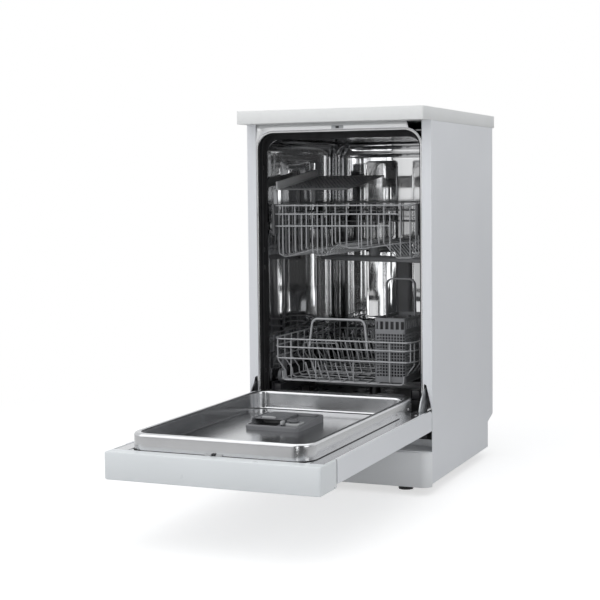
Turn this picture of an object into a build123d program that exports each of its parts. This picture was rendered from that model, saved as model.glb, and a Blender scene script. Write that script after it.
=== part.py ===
from build123d import *
import math
import os

# Slimline free-standing dishwasher, door open and both baskets in.
# Depths run back from the worktop's front edge; x is across, z is up from the floor.

# Overall
WIDTH = 448
DEPTH = 600
HEIGHT = 866
SHEET = 1.0
MOULDING = 2.5
RUNNING_GAP = 0.3

# Worktop and outer cabinet
WORKTOP_THICKNESS = 30
WORKTOP_CORNER = 4
UNDERSIDE = HEIGHT - WORKTOP_THICKNESS
BODY_HALF = WIDTH / 2 - 0.5
BODY_FRONT = 56.5
BODY_BACK = DEPTH - 19.5
SIDE_FOOT = 24
NOTCH_DEPTH = BODY_BACK - 47.8
NOTCH_LOW = 88.2
NOTCH_HIGH = 102.6
FLANGE_INNER = BODY_HALF - 21.9
FLANGE_FOOT = 249
FLANGE_STEP = BODY_HALF - 13.5
FLANGE_TAPER_FOOT = 191
RETURN_FLANGE = 18
SIDE_INNER = BODY_HALF - SHEET
RIB_INNER = 85
RIB_OUTER = 135
RIB_MARGIN = 60
RIB_HEIGHT = 4
RAIL_BACK = 80

# Tub
MOUTH_HALF = BODY_HALF - 26.5
MOUTH_TOP = UNDERSIDE - 16
MOUTH_RADIUS = 38
MOUTH_BACK = 95
TUB_HALF = MOUTH_HALF - 5
TUB_TOP = MOUTH_TOP - 17
TUB_BACK = BODY_BACK - 35.5
WALL_FOOT = 165
FRAME_FRONT = BODY_FRONT + SHEET
FRAME_BACK = FRAME_FRONT + SHEET
FRAME_HALF = BODY_HALF - 19.5
FRAME_HALF_LOW = FRAME_HALF - 2
FRAME_STEP = 252
RIM_WIDTH = 2.5
CORNER_CUT = BODY_HALF - 55.5
CORNER_FOOT = TUB_TOP - 23
STRIKE_X = 1.5
STRIKE_WIDTH = 31
APRON_FOOT = 152
EMBOSS_FRONT = 180
EMBOSS_BACK = 400
EMBOSS_FOOT = 345
EMBOSS_TOP = TUB_TOP - 47
EMBOSS_DEPTH = 2
EMBOSS_RADIUS = 20
REAR_EMBOSS_INNER = 20
REAR_EMBOSS_OUTER = 107

# Tub floor
FLOOR_TOP = 180
FLOOR_THICKNESS = 3
UNDER_FLOOR = FLOOR_TOP - FLOOR_THICKNESS
SILL_TOP = 168
LEDGE_TOP = 203
LEDGE_INNER = TUB_HALF - 29
SUMP_X = 30
SUMP_DEPTH = 280
SUMP_RADIUS = 88
SUMP_FOOT = 95
SUMP_OUTER = SUMP_RADIUS + FLOOR_THICKNESS
SUMP_OPENING = SUMP_RADIUS - 2
PORT_WIDTH = 28
PORT_HEIGHT = 34
PORT_REACH = SUMP_OUTER + 4
PLATE_RADIUS = SUMP_OPENING + 6
PLATE_TOP = FLOOR_TOP + 1.5
FILTER_X = 62
FILTER_DEPTH = 250
FILTER_RADIUS = 36
FILTER_HOLE = FILTER_RADIUS + 1
FILTER_LENGTH = 60
FILTER_SEAT = PLATE_TOP + RUNNING_GAP
SALT_X = -95
SALT_DEPTH = 215
SALT_HOLE = 30
TANK_TOP = 150

# Door gasket and bottom seal
GASKET = 2.5
LIP = 3.5
GASKET_BACK = 90
GASKET_LENGTH = 28
LIP_DEPTHS = (74, 84)
SEAL_FRONT = FRAME_BACK + 1
SEAL_BACK = LIP_DEPTHS[0] - 2.5
SEAL_TOP = SILL_TOP + 4.5
SEAL_CORNER_TOP = 189

# Base, feet and plinth
BASE_FRONT = 122
BASE_BACK = TUB_BACK - 15
BASE_FOOT = SIDE_FOOT + SHEET
BASE_HALF = BODY_HALF - 33.5
BASE_FLOOR = 3
BASE_TOP = BASE_FOOT + BASE_FLOOR
BASE_EDGE = SIDE_INNER - RUNNING_GAP
FOOT_RADIUS = 17
FOOT_THICKNESS = 8
FOOT_SCREW = 8
FRONT_FOOT_X = BASE_HALF - 43
FRONT_FOOT_DEPTH = 99
REAR_FOOT_X = BASE_HALF - 40
REAR_FOOT_DEPTH = BASE_BACK - 30
LUG_HALF = FOOT_RADIUS + 5
LUG_HEIGHT = 15
PLINTH_FRONT = 34.5
PLINTH_CORNER = 21.9
PLINTH_FOOT = 18
PLINTH_TOP = 97
UPSTAND_TOP = 112

# Pumps and rear connections
PUMP_RADIUS = 42
MOTOR_RADIUS = 36
PUMP_DEPTH = SUMP_DEPTH + PORT_REACH + PUMP_RADIUS
PUMP_HEIGHT = 75
DRAIN_PUMP_RADIUS = 24
INLET_X = BASE_HALF - 50
INLET_HEIGHT = 85
INLET_RADIUS = 13.2
INLET_NECK = 11.5
INLET_THREAD = 16
DRAIN_X = 60 - BASE_HALF
DRAIN_HEIGHT = 70
DRAIN_RADIUS = 9.5
DRAIN_NECK = 8
DRAIN_BORE = 6
DRAIN_GRIP = 18
CABLE_X = 20 - BASE_HALF
CABLE_RADIUS = 8
SPIGOT_LENGTH = 26

# Door, drawn lying open
PIVOT_DEPTH = 41.5
PIVOT_HEIGHT = 176.5
PIN_RADIUS = 4
DOOR_REACH = UNDERSIDE - 1 - PIVOT_HEIGHT - PIVOT_DEPTH
FRONT = (DOOR_REACH - DEPTH) / 2
FACE_TOP = 190
DOOR_TOP = 190.5
PANEL_FACE = 144
FASCIA_FACE = 136
FASCIA_BACK = DOOR_REACH - 85
FASCIA_WALL = 5
STRIP_BACK = DOOR_REACH - 30
LIP_HALF = BODY_HALF - 3.5
LIP_REACH = 108
SKIRT_CURVE = 13.5
PANEL_HINGE_END = PIVOT_DEPTH + 12
PAN_HALF = MOUTH_HALF - 7
PAN_RIM = 223
PAN_BACK = 42
PAN_FRONT = DOOR_REACH - 32
PAN_RADIUS = 29
RECESS_HALF = PAN_HALF - 12
RECESS_BACK = 5
RECESS_FRONT = PAN_FRONT - 15
RECESS_RADIUS = 22
RECESS_FLOOR = 183
LINER_HALF = BODY_HALF - 5.5
LINER_HINGE_END = 10
LINER_HINGE_HALF = MOUTH_HALF + 6

# Hinges
ARM_INNER = BODY_HALF - 17.5
ARM_THICKNESS = 2.5
ARM_TOP = 241
ARM_FRONT = 130
BRACKET_INNER = BODY_HALF - 11.5
EAR_RADIUS = 11
BRACKET_TOP = 187.5
BRACKET_LOW = 152
BRACKET_BACK = 150

# Fascia front
GRIP_HALF = 70
GRIP_HIGH = DOOR_REACH - 17
GRIP_LOW = GRIP_HIGH - 40
GRIP_POCKET = 30
BUTTON_WIDTH = 14
BUTTON_LENGTH = 8
BUTTON_COLLAR = 4
BUTTON_DEPTH = DOOR_REACH - 42
BUTTON_PROUD = 1
BUTTON_TRAVEL = 2
BUTTONS = (
    ("power_button", 38.5 - BODY_HALF),
    ("program_button", 83.5 - BODY_HALF),
    ("option_button", BODY_HALF - 51.5),
    ("start_button", BODY_HALF - 23.5),
)
WINDOW_MIDDLE = 124
WINDOW_WIDTH = 56
WINDOW_HEIGHT = 18
WINDOW_LEDGE = 5
LATCH_X = -4
LATCH_WIDTH = 44

# Dispenser on the door
DISPENSER_LEFT = -88
DISPENSER_RIGHT = 35
DISPENSER_FRONT = 268
DISPENSER_BACK = 120
DISPENSER_TOP = 199
LID_FOOT = DISPENSER_TOP + RUNNING_GAP
LID_LEFT = DISPENSER_LEFT + 4
LID_RIGHT = LID_LEFT + 66
LID_FRONT = 226
LID_BACK = 150
LID_RAIL = 2
CATCH_X = LID_RIGHT + 8
CATCH_DEPTH = 246
CATCH_WIDTH = 6
CATCH_LENGTH = 14
CAP_X = 8
CAP_DEPTH = 228
CAP_RADIUS = 14
CAP_PLUG = 10

# Wires and baskets
WIRE = 3.4
WELD_GAP = 0.2
BASKET_HALF = TUB_HALF - 18
LOWER_FRONT = 70.5
LOWER_BACK = TUB_BACK - 25
LOWER_FLOOR = 238
LOWER_RAILS = (292, 318, 337)
LOWER_CORNER_X = 17
LOWER_CORNER_DEPTH = 25
LOWER_PITCH = 41
LOWER_WIRES = 11
LOWER_FIRST = 98
LOWER_LONG = (28, 70, 112, BASKET_HALF - 24)
LOWER_FLOOR_TOP = LOWER_FLOOR + 2 * WIRE
HANDLE_LEFT = -78
HANDLE_RIGHT = 62
HANDLE_TOP = 388
TINE_LEFT = 54 - BASKET_HALF
TINE_PITCH = 25
TINES = 7
TINE_HEIGHT = 75
TINE_LEAN = 13
TINE_ROWS = (200, 290, 380, 460)
CUTLERY_RIGHT = BASKET_HALF - 23
CUTLERY_LEFT = CUTLERY_RIGHT - 72
CUTLERY_FRONT = 82
CUTLERY_BACK = 252
CUTLERY_TOP = 391
CUTLERY_HANDLE_TOP = 479
CUTLERY_HANDLE_DEPTH = CUTLERY_FRONT + 83
CUTLERY_WALL = 2
CUTLERY_CORNER = 5

# Wheels and runners
WHEEL_RADIUS = 16.5
WHEEL_WIDTH = 8
WHEEL_X = TUB_HALF - 12
WHEEL_INNER = WHEEL_X - WHEEL_WIDTH / 2
WHEEL_OUTER = WHEEL_X + WHEEL_WIDTH / 2
AXLE_RADIUS = 3
FRONT_WHEEL = 145
REAR_WHEEL = 430
RUNNER_TOP = LEDGE_TOP + 20.5
WHEEL_HEIGHT = RUNNER_TOP + WHEEL_RADIUS + RUNNING_GAP
RUNNER_INNER = TUB_HALF - 25
RUNNER_OUTER = TUB_HALF - 5
RUNNER_FRONT = 100
RUNNER_LIP = 2.2

# Upper basket and its rollers
UPPER_RAILS = (TUB_TOP - 203, TUB_TOP - 175, TUB_TOP - 153)
ROLLER_RADIUS = 8.7
ROLLER_PIN = 2.5
ROLLER_BOSS = 14
ROLLER_INNER = TUB_HALF - 10
ROLLER_OUTER = TUB_HALF - 4
ROLLER_HEIGHT = UPPER_RAILS[0]
FRONT_ROLLER = 110
REAR_ROLLER = 165
UPPER_FRONT = 90.5
UPPER_BACK = TUB_BACK - 30
UPPER_FLOOR = UPPER_RAILS[0] - 73
UPPER_PITCH = 41
UPPER_WIRES = 10
UPPER_FIRST = 112
UPPER_BEND = (
    (-BASKET_HALF, UPPER_FLOOR + 4),
    (22 - BASKET_HALF, UPPER_FLOOR),
    (-84, UPPER_FLOOR + 18),
    (-76, UPPER_FLOOR + 4),
    (-54, UPPER_FLOOR + 4),
    (-20, UPPER_FLOOR + 30),
    (44, UPPER_FLOOR + 21),
    (98, UPPER_FLOOR + 30),
    (BASKET_HALF - 52, UPPER_FLOOR),
    (BASKET_HALF - 21, UPPER_FLOOR),
    (BASKET_HALF, UPPER_FLOOR + 4),
)
UPPER_LONG = (22 - BASKET_HALF, -84, -65, -20, 44, 98, BASKET_HALF - 36)
CHANNEL_WEB = TUB_HALF - 12
CHANNEL_SHEET = 1.2
CHANNEL_FRONT = 98

# Spray arms and their water
ARM_DEPTH = 310
LOWER_ARM_REACH = TUB_HALF - 34
LOWER_ARM_FOOT = 200
SPRAY_THICKNESS = 13
UPPER_ARM_REACH = TUB_HALF - 22
UPPER_ARM_TOP = UPPER_FLOOR - 6
UPPER_ARM_TURN = -19
HUB_RADIUS = 24
TIP_RADIUS = 14
POST_RADIUS = 13
FEED_HEIGHT = UPPER_FLOOR + 9
FEED_RADIUS = 9
DUCT_FRONT = TUB_BACK - 20
DUCT_HALF = 20
DUCT_TOP = FEED_HEIGHT + 20

# Cup shelf
SHELF_WIDTH = 180
SHELF_LENGTH = 257
SHELF_X = 8 - BASKET_HALF
SHELF_FRONT = 90
SHELF_FOOT = UPPER_RAILS[-1] + 34
SHELF_RISE = 31
SHELF_BAR = 4
SHELF_SHEET = 3
SHELF_UPSTAND = 20
ROD_X = SHELF_X - RUNNING_GAP - WIRE / 2
KNUCKLE_RADIUS = 4
KNUCKLE_LENGTH = 12
KNUCKLES = (40, 210)


def level(height):
    """A flat plane at a height, in x and depth."""
    return Plane(origin=(0, FRONT, height))


def facing(depth):
    """An upright plane across the machine, in x and height, that extrudes to the front."""
    return Plane(origin=(0, FRONT + depth, 0), x_dir=(1, 0, 0), z_dir=(0, -1, 0))


def sideways(across):
    """An upright plane along the machine, in depth and height, that extrudes to the right."""
    return Plane(origin=(across, FRONT, 0), x_dir=(0, 1, 0), z_dir=(1, 0, 0))


def block(xs, depths, heights, mode=Mode.ADD):
    """A block between two corners, added to the piece in hand."""
    middle = (sum(xs) / 2, FRONT + sum(depths) / 2, sum(heights) / 2)
    with Locations(middle):
        Box(xs[1] - xs[0], depths[1] - depths[0], heights[1] - heights[0], mode=mode)


def blocks(size, places, mode=Mode.ADD):
    """Copies of one block, centred on places given as x, depth and height."""
    with Locations(*[(x, FRONT + depth, height) for x, depth, height in places]):
        Box(*size, mode=mode)


def arch(half, foot, top, radius):
    """The outline of a tub opening: flat foot, upright sides, rounded upper corners."""
    with BuildSketch() as outline:
        with Locations((0, (foot + top) / 2)):
            Rectangle(2 * half, top - foot)
        fillet(outline.vertices().group_by(Axis.Y)[-1], radius)
    return outline.sketch


def rounded(xs, depths, radius):
    """A rounded rectangle between two corners, in the plane of the sketch."""
    with BuildSketch() as outline:
        with Locations((sum(xs) / 2, sum(depths) / 2)):
            RectangleRounded(xs[1] - xs[0], depths[1] - depths[0], radius)
    return outline.sketch


def keep(piece, name):
    """Label a finished piece and write it."""
    piece.part.label = name
    export_step(piece.part, f"parts/{name}.step")


os.makedirs("parts", exist_ok=True)

# Worktop
with BuildPart() as worktop:
    block((-WIDTH / 2, WIDTH / 2), (0, DEPTH), (UNDERSIDE, HEIGHT))
    fillet(worktop.edges().filter_by(Axis.Z), WORKTOP_CORNER)
    chamfer(worktop.faces().sort_by(Axis.Z)[-1].edges(), 1.2)
keep(worktop, "worktop")

# Side panels: folded sheet with a front flange that tapers away below
with BuildPart() as side_panel_right:
    with BuildSketch(sideways(SIDE_INNER)):
        Polygon(
            (BODY_FRONT, SIDE_FOOT),
            (NOTCH_DEPTH, SIDE_FOOT),
            (NOTCH_DEPTH, NOTCH_LOW),
            (BODY_BACK, NOTCH_HIGH),
            (BODY_BACK, UNDERSIDE),
            (BODY_FRONT, UNDERSIDE),
            align=None,
        )
    extrude(amount=SHEET)
    with BuildSketch(facing(FRAME_FRONT)):
        Polygon(
            (SIDE_INNER, UNDERSIDE),
            (FLANGE_INNER, UNDERSIDE),
            (FLANGE_INNER, FLANGE_FOOT),
            (FLANGE_STEP, FLANGE_FOOT - 2),
            (SIDE_INNER, FLANGE_TAPER_FOOT),
            align=None,
        )
    extrude(amount=SHEET)
    folded = (SIDE_INNER - RETURN_FLANGE, SIDE_INNER)
    block(folded, (BODY_BACK - SHEET, BODY_BACK), (NOTCH_HIGH, UNDERSIDE))
    block(folded, (FRAME_FRONT, BODY_BACK), (UNDERSIDE - SHEET, UNDERSIDE))
    block(folded, (BASE_FRONT, NOTCH_DEPTH), (SIDE_FOOT, BASE_FOOT))
keep(side_panel_right, "side_panel_right")

with BuildPart() as side_panel_left:
    mirror(side_panel_right.part, about=Plane.YZ)
keep(side_panel_left, "side_panel_left")

# Rear panel with two pressed stiffening ribs
with BuildPart() as rear_panel:
    rear_face = BODY_BACK - SHEET
    rear_half = SIDE_INNER - RUNNING_GAP
    block((-rear_half, rear_half), (rear_face - SHEET, rear_face), (NOTCH_HIGH + 2, UNDERSIDE - SHEET))
    rib_foot = NOTCH_HIGH + RIB_MARGIN
    rib_top = UNDERSIDE - RIB_MARGIN
    rib_back = rear_face + RIB_HEIGHT
    for side in (-1, 1):
        ribs = sorted((side * RIB_INNER, side * RIB_OUTER))
        block(ribs, (rear_face - SHEET, rib_back), (rib_foot, rib_top))
        pressed = (ribs[0] + SHEET, ribs[1] - SHEET)
        rise = (rib_foot + SHEET, rib_top - SHEET)
        block(pressed, (rear_face - SHEET, rib_back - SHEET), rise, Mode.SUBTRACT)
keep(rear_panel, "rear_panel")

# Top rail, a channel that ties the cabinet's sides behind the tub's front frame
with BuildPart() as top_rail:
    rail_left = RETURN_FLANGE - SIDE_INNER + 2
    rail_foot = MOUTH_TOP + 9.5
    with BuildSketch(sideways(rail_left)):
        with BuildLine():
            Polyline(
                (RAIL_BACK, UNDERSIDE - SHEET / 2),
                (FRAME_BACK + SHEET / 2, UNDERSIDE - SHEET / 2),
                (FRAME_BACK + SHEET / 2, rail_foot),
                (RAIL_BACK, rail_foot),
            )
        trace(line_width=SHEET)
    extrude(amount=CORNER_CUT - 3 - rail_left)
keep(top_rail, "top_rail")

# Strike for the door's catch, behind a slot in the tub's front frame
with BuildPart() as latch_strike:
    strike = (STRIKE_X - STRIKE_WIDTH / 2, STRIKE_X + STRIKE_WIDTH / 2)
    block(strike, (FRAME_BACK, RAIL_BACK + 4), (MOUTH_TOP + SHEET, rail_foot - SHEET / 2))
    slot = (strike[0] + RIB_HEIGHT, strike[1] - RIB_HEIGHT)
    block(slot, (FRAME_BACK, RAIL_BACK), (MOUTH_TOP + MOULDING, MOUTH_TOP + 7.5), Mode.SUBTRACT)
keep(latch_strike, "latch_strike")

# Tub: front frame, wide mouth, step and body, with a panel pressed out of each side wall
with BuildPart() as tub_wrap:
    with BuildSketch(facing(FRAME_BACK)):
        Polygon(
            (-FRAME_HALF_LOW, WALL_FOOT),
            (FRAME_HALF_LOW, WALL_FOOT),
            (FRAME_HALF_LOW, FRAME_STEP),
            (FRAME_HALF, FRAME_STEP),
            (FRAME_HALF, CORNER_FOOT),
            (CORNER_CUT, CORNER_FOOT),
            (CORNER_CUT, MOUTH_TOP),
            (CORNER_CUT + 7, UNDERSIDE),
            (-FRAME_HALF, UNDERSIDE),
            (-FRAME_HALF, FRAME_STEP),
            (-FRAME_HALF_LOW, FRAME_STEP),
            align=None,
        )
        add(arch(MOUTH_HALF + RIM_WIDTH, WALL_FOOT, MOUTH_TOP + RIM_WIDTH, MOUTH_RADIUS + RIM_WIDTH))
        add(arch(MOUTH_HALF, WALL_FOOT, MOUTH_TOP, MOUTH_RADIUS), mode=Mode.SUBTRACT)
        with Locations((STRIKE_X, MOUTH_TOP + 5)):
            Rectangle(STRIKE_WIDTH - 2, 5, mode=Mode.SUBTRACT)
    extrude(amount=SHEET)
    with BuildSketch(facing(MOUTH_BACK)):
        add(arch(MOUTH_HALF + SHEET, WALL_FOOT, MOUTH_TOP + SHEET, MOUTH_RADIUS + SHEET))
        add(arch(MOUTH_HALF, WALL_FOOT, MOUTH_TOP, MOUTH_RADIUS), mode=Mode.SUBTRACT)
    extrude(amount=MOUTH_BACK - FRAME_BACK)
    with BuildSketch(facing(MOUTH_BACK + SHEET)):
        add(arch(MOUTH_HALF + SHEET, WALL_FOOT, MOUTH_TOP + SHEET, MOUTH_RADIUS + SHEET))
        add(arch(TUB_HALF, WALL_FOOT, TUB_TOP, MOUTH_RADIUS), mode=Mode.SUBTRACT)
    extrude(amount=SHEET)
    with BuildSketch(facing(TUB_BACK)):
        add(arch(TUB_HALF + SHEET, WALL_FOOT, TUB_TOP + SHEET, MOUTH_RADIUS + SHEET))
        add(arch(TUB_HALF, WALL_FOOT, TUB_TOP, MOUTH_RADIUS), mode=Mode.SUBTRACT)
    extrude(amount=TUB_BACK - MOUTH_BACK - SHEET)
    for side in (-1, 1):
        with BuildSketch(sideways(side * TUB_HALF)):
            add(rounded((EMBOSS_FRONT, EMBOSS_BACK), (EMBOSS_FOOT, EMBOSS_TOP), EMBOSS_RADIUS))
        extrude(amount=side * (EMBOSS_DEPTH + SHEET))
        with BuildSketch(sideways(side * TUB_HALF)):
            pressed = (EMBOSS_FRONT + SHEET, EMBOSS_BACK - SHEET)
            add(rounded(pressed, (EMBOSS_FOOT + SHEET, EMBOSS_TOP - SHEET), EMBOSS_RADIUS - SHEET))
        extrude(amount=side * EMBOSS_DEPTH, mode=Mode.SUBTRACT)
keep(tub_wrap, "tub_wrap")

with BuildPart() as tub_rear_wall:
    with BuildSketch(facing(TUB_BACK + SHEET)):
        add(arch(TUB_HALF + SHEET, WALL_FOOT, TUB_TOP + SHEET, MOUTH_RADIUS + SHEET))
    extrude(amount=SHEET)
    for side in (-1, 1):
        across = sorted((side * REAR_EMBOSS_INNER, side * REAR_EMBOSS_OUTER))
        with BuildSketch(facing(TUB_BACK)):
            add(rounded(across, (EMBOSS_FOOT, EMBOSS_TOP), EMBOSS_RADIUS / 2))
        extrude(amount=-EMBOSS_DEPTH - SHEET)
        with BuildSketch(facing(TUB_BACK)):
            across = (across[0] + SHEET, across[1] - SHEET)
            add(rounded(across, (EMBOSS_FOOT + SHEET, EMBOSS_TOP - SHEET), EMBOSS_RADIUS / 2 - SHEET))
        extrude(amount=-EMBOSS_DEPTH, mode=Mode.SUBTRACT)
keep(tub_rear_wall, "tub_rear_wall")

# Tub floor: sill, riser, trough and two side ledges for the runners
with BuildPart() as tub_floor:
    half = FLOOR_THICKNESS / 2
    with BuildSketch(facing(TUB_BACK)):
        with BuildLine():
            Polyline(
                (-TUB_HALF, LEDGE_TOP - half),
                (-LEDGE_INNER - half, LEDGE_TOP - half),
                (-LEDGE_INNER - half, FLOOR_TOP - half),
                (LEDGE_INNER + half, FLOOR_TOP - half),
                (LEDGE_INNER + half, LEDGE_TOP - half),
                (TUB_HALF, LEDGE_TOP - half),
            )
        trace(line_width=FLOOR_THICKNESS)
    extrude(amount=TUB_BACK - MOUTH_BACK)
    with BuildSketch(facing(MOUTH_BACK + FLOOR_THICKNESS)):
        Polygon(
            (-TUB_HALF, WALL_FOOT),
            (TUB_HALF, WALL_FOOT),
            (TUB_HALF, LEDGE_TOP),
            (LEDGE_INNER, LEDGE_TOP),
            (LEDGE_INNER, FLOOR_TOP),
            (-LEDGE_INNER, FLOOR_TOP),
            (-LEDGE_INNER, LEDGE_TOP),
            (-TUB_HALF, LEDGE_TOP),
            align=None,
        )
    extrude(amount=FLOOR_THICKNESS)
    block((-MOUTH_HALF, MOUTH_HALF), (FRAME_FRONT, MOUTH_BACK), (WALL_FOOT, SILL_TOP))
    block((-MOUTH_HALF, MOUTH_HALF), (FRAME_FRONT, FRAME_FRONT + SHEET), (APRON_FOOT, WALL_FOOT))
    with BuildSketch(level(FLOOR_TOP)):
        with Locations((SUMP_X, SUMP_DEPTH)):
            Circle(SUMP_OPENING)
        with Locations((SALT_X, SALT_DEPTH)):
            Circle(SALT_HOLE)
    extrude(amount=-FLOOR_THICKNESS, mode=Mode.SUBTRACT)
keep(tub_floor, "tub_floor")

# Door gasket: a flat lining with two lips, round the sides and top of the mouth
with BuildPart() as door_gasket:
    with BuildSketch(facing(GASKET_BACK)):
        add(arch(MOUTH_HALF, SILL_TOP, MOUTH_TOP, MOUTH_RADIUS))
        add(arch(MOUTH_HALF - GASKET, SILL_TOP, MOUTH_TOP - GASKET, MOUTH_RADIUS - GASKET), mode=Mode.SUBTRACT)
    extrude(amount=GASKET_LENGTH)
    inner = GASKET + LIP
    for depth in LIP_DEPTHS:
        with BuildSketch(facing(depth)):
            add(arch(MOUTH_HALF - GASKET, SILL_TOP, MOUTH_TOP - GASKET, MOUTH_RADIUS - GASKET))
            add(arch(MOUTH_HALF - inner, SILL_TOP, MOUTH_TOP - inner, MOUTH_RADIUS - inner), mode=Mode.SUBTRACT)
        extrude(amount=2)
keep(door_gasket, "door_gasket")

# Bottom seal on the sill, with a corner block at each end
with BuildPart() as bottom_seal:
    seal_half = PAN_HALF + 2 * RUNNING_GAP
    block((-seal_half, seal_half), (SEAL_FRONT, SEAL_BACK), (SILL_TOP, SEAL_TOP))
    for side in (-1, 1):
        corner = sorted((side * seal_half, side * (MOUTH_HALF - GASKET)))
        block(corner, (SEAL_FRONT, SEAL_BACK), (SILL_TOP, SEAL_CORNER_TOP))
keep(bottom_seal, "bottom_seal")

# Base tray under the tub, with lugs for the front feet
with BuildPart() as base_tray:
    block((-BASE_EDGE, BASE_EDGE), (BASE_FRONT, BASE_BACK), (BASE_FOOT, BASE_TOP))
    block((-BASE_HALF, BASE_HALF), (BASE_FRONT, BASE_FRONT + BASE_FLOOR), (BASE_TOP, UNDER_FLOOR))
    block((-BASE_HALF, BASE_HALF), (BASE_BACK - BASE_FLOOR, BASE_BACK), (BASE_TOP, UNDER_FLOOR))
    for side in (-1, 1):
        wall = sorted((side * (BASE_HALF - BASE_FLOOR), side * BASE_HALF))
        block(wall, (BASE_FRONT, BASE_BACK), (BASE_TOP, LEDGE_TOP - FLOOR_THICKNESS))
        lug = sorted((side * (FRONT_FOOT_X - LUG_HALF), side * (FRONT_FOOT_X + LUG_HALF)))
        block(lug, (FRONT_FOOT_DEPTH - FOOT_RADIUS, BASE_FRONT), (BASE_FOOT, BASE_FOOT + LUG_HEIGHT))
    with BuildSketch(facing(BASE_BACK)):
        with Locations((INLET_X, INLET_HEIGHT)):
            Circle(INLET_RADIUS + RUNNING_GAP)
        with Locations((DRAIN_X, DRAIN_HEIGHT)):
            Circle(DRAIN_RADIUS + RUNNING_GAP)
        with Locations((CABLE_X, DRAIN_HEIGHT)):
            Rectangle(2 * CABLE_RADIUS, 2 * CABLE_RADIUS)
    extrude(amount=BASE_FLOOR, mode=Mode.SUBTRACT)
keep(base_tray, "base_tray")

# Feet: round pads on six-sided screws
with BuildPart() as feet:
    with BuildSketch(level(0)):
        with Locations((-FRONT_FOOT_X, FRONT_FOOT_DEPTH), (FRONT_FOOT_X, FRONT_FOOT_DEPTH)):
            Circle(FOOT_RADIUS)
        with Locations((-REAR_FOOT_X, REAR_FOOT_DEPTH), (REAR_FOOT_X, REAR_FOOT_DEPTH)):
            Circle(FOOT_RADIUS)
    extrude(amount=FOOT_THICKNESS)
    with BuildSketch(level(FOOT_THICKNESS)):
        with Locations((-FRONT_FOOT_X, FRONT_FOOT_DEPTH), (FRONT_FOOT_X, FRONT_FOOT_DEPTH)):
            RegularPolygon(FOOT_SCREW, 6)
        with Locations((-REAR_FOOT_X, REAR_FOOT_DEPTH), (REAR_FOOT_X, REAR_FOOT_DEPTH)):
            RegularPolygon(FOOT_SCREW, 6)
    extrude(amount=BASE_FOOT - FOOT_THICKNESS)
keep(feet, "feet")

# Plinth: a curved skirt with a ledge and an upstand behind it
with BuildPart() as plinth:
    with BuildSketch(level(PLINTH_FOOT)) as skirt:
        with Locations((0, (PLINTH_FRONT + BODY_FRONT) / 2)):
            Rectangle(2 * BODY_HALF, BODY_FRONT - PLINTH_FRONT)
        fillet(skirt.vertices().group_by(Axis.Y)[0], PLINTH_CORNER)
    extrude(amount=PLINTH_TOP - PLINTH_FOOT)
    with BuildSketch(level(PLINTH_FOOT)) as hollow:
        with Locations((0, (PLINTH_FRONT + MOULDING + BODY_FRONT) / 2)):
            Rectangle(2 * (BODY_HALF - MOULDING), BODY_FRONT - PLINTH_FRONT - MOULDING)
        fillet(hollow.vertices().group_by(Axis.Y)[0], PLINTH_CORNER - MOULDING)
    extrude(amount=PLINTH_TOP - MOULDING - PLINTH_FOOT, mode=Mode.SUBTRACT)
    plinth_half = SIDE_INNER - 0.5
    block((-plinth_half, plinth_half), (BODY_FRONT, BASE_FRONT), (PLINTH_TOP - MOULDING, PLINTH_TOP))
    block((-plinth_half, plinth_half), (BASE_FRONT - MOULDING, BASE_FRONT), (PLINTH_TOP, UPSTAND_TOP))
keep(plinth, "plinth")

# Hinge brackets: a steel plate on the base with the door's pin in its ear
with BuildPart() as hinge_bracket_right:
    bracket_front = BASE_FRONT + 4
    with BuildSketch(sideways(BRACKET_INNER)):
        with Locations((PIVOT_DEPTH, PIVOT_HEIGHT)):
            Circle(EAR_RADIUS)
        Polygon(
            (PIVOT_DEPTH, BRACKET_TOP),
            (BRACKET_BACK, BRACKET_TOP),
            (BRACKET_BACK, BASE_TOP),
            (bracket_front, BASE_TOP),
            (bracket_front, BRACKET_LOW),
            (PIVOT_DEPTH + 28, BRACKET_LOW),
            (PIVOT_DEPTH, PIVOT_HEIGHT - EAR_RADIUS),
            align=None,
        )
    extrude(amount=MOULDING)
    with BuildSketch(sideways(ARM_INNER - 2)):
        with Locations((PIVOT_DEPTH, PIVOT_HEIGHT)):
            Circle(PIN_RADIUS)
    extrude(amount=BRACKET_INNER - ARM_INNER + 2)
    outside = BRACKET_INNER + MOULDING
    block((outside, BASE_EDGE), (bracket_front, BRACKET_BACK), (BASE_TOP, BASE_TOP + MOULDING))
    block((outside, SIDE_INNER), (bracket_front, BRACKET_BACK), (BRACKET_TOP - MOULDING, BRACKET_TOP))
keep(hinge_bracket_right, "hinge_bracket_right")

with BuildPart() as hinge_bracket_left:
    mirror(hinge_bracket_right.part, about=Plane.YZ)
keep(hinge_bracket_left, "hinge_bracket_left")

# Sump under the tub floor, with ports for both pumps
with BuildPart() as sump:
    with BuildSketch(level(SUMP_FOOT)):
        with Locations((SUMP_X, SUMP_DEPTH)):
            Circle(SUMP_OUTER)
    extrude(amount=UNDER_FLOOR - SUMP_FOOT)
    ports = (SUMP_FOOT, SUMP_FOOT + PORT_HEIGHT)
    to_drain = (SUMP_DEPTH - PORT_WIDTH / 2, SUMP_DEPTH + PORT_WIDTH / 2)
    block((SUMP_X, SUMP_X + PORT_REACH), to_drain, ports)
    to_pump = (SUMP_X - PORT_WIDTH / 2, SUMP_X + PORT_WIDTH / 2)
    block(to_pump, (SUMP_DEPTH, SUMP_DEPTH + PORT_REACH), ports)
    with BuildSketch(level(SUMP_FOOT + FLOOR_THICKNESS)):
        with Locations((SUMP_X, SUMP_DEPTH)):
            Circle(SUMP_RADIUS)
    extrude(amount=UNDER_FLOOR - SUMP_FOOT - FLOOR_THICKNESS, mode=Mode.SUBTRACT)
keep(sump, "sump")

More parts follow.
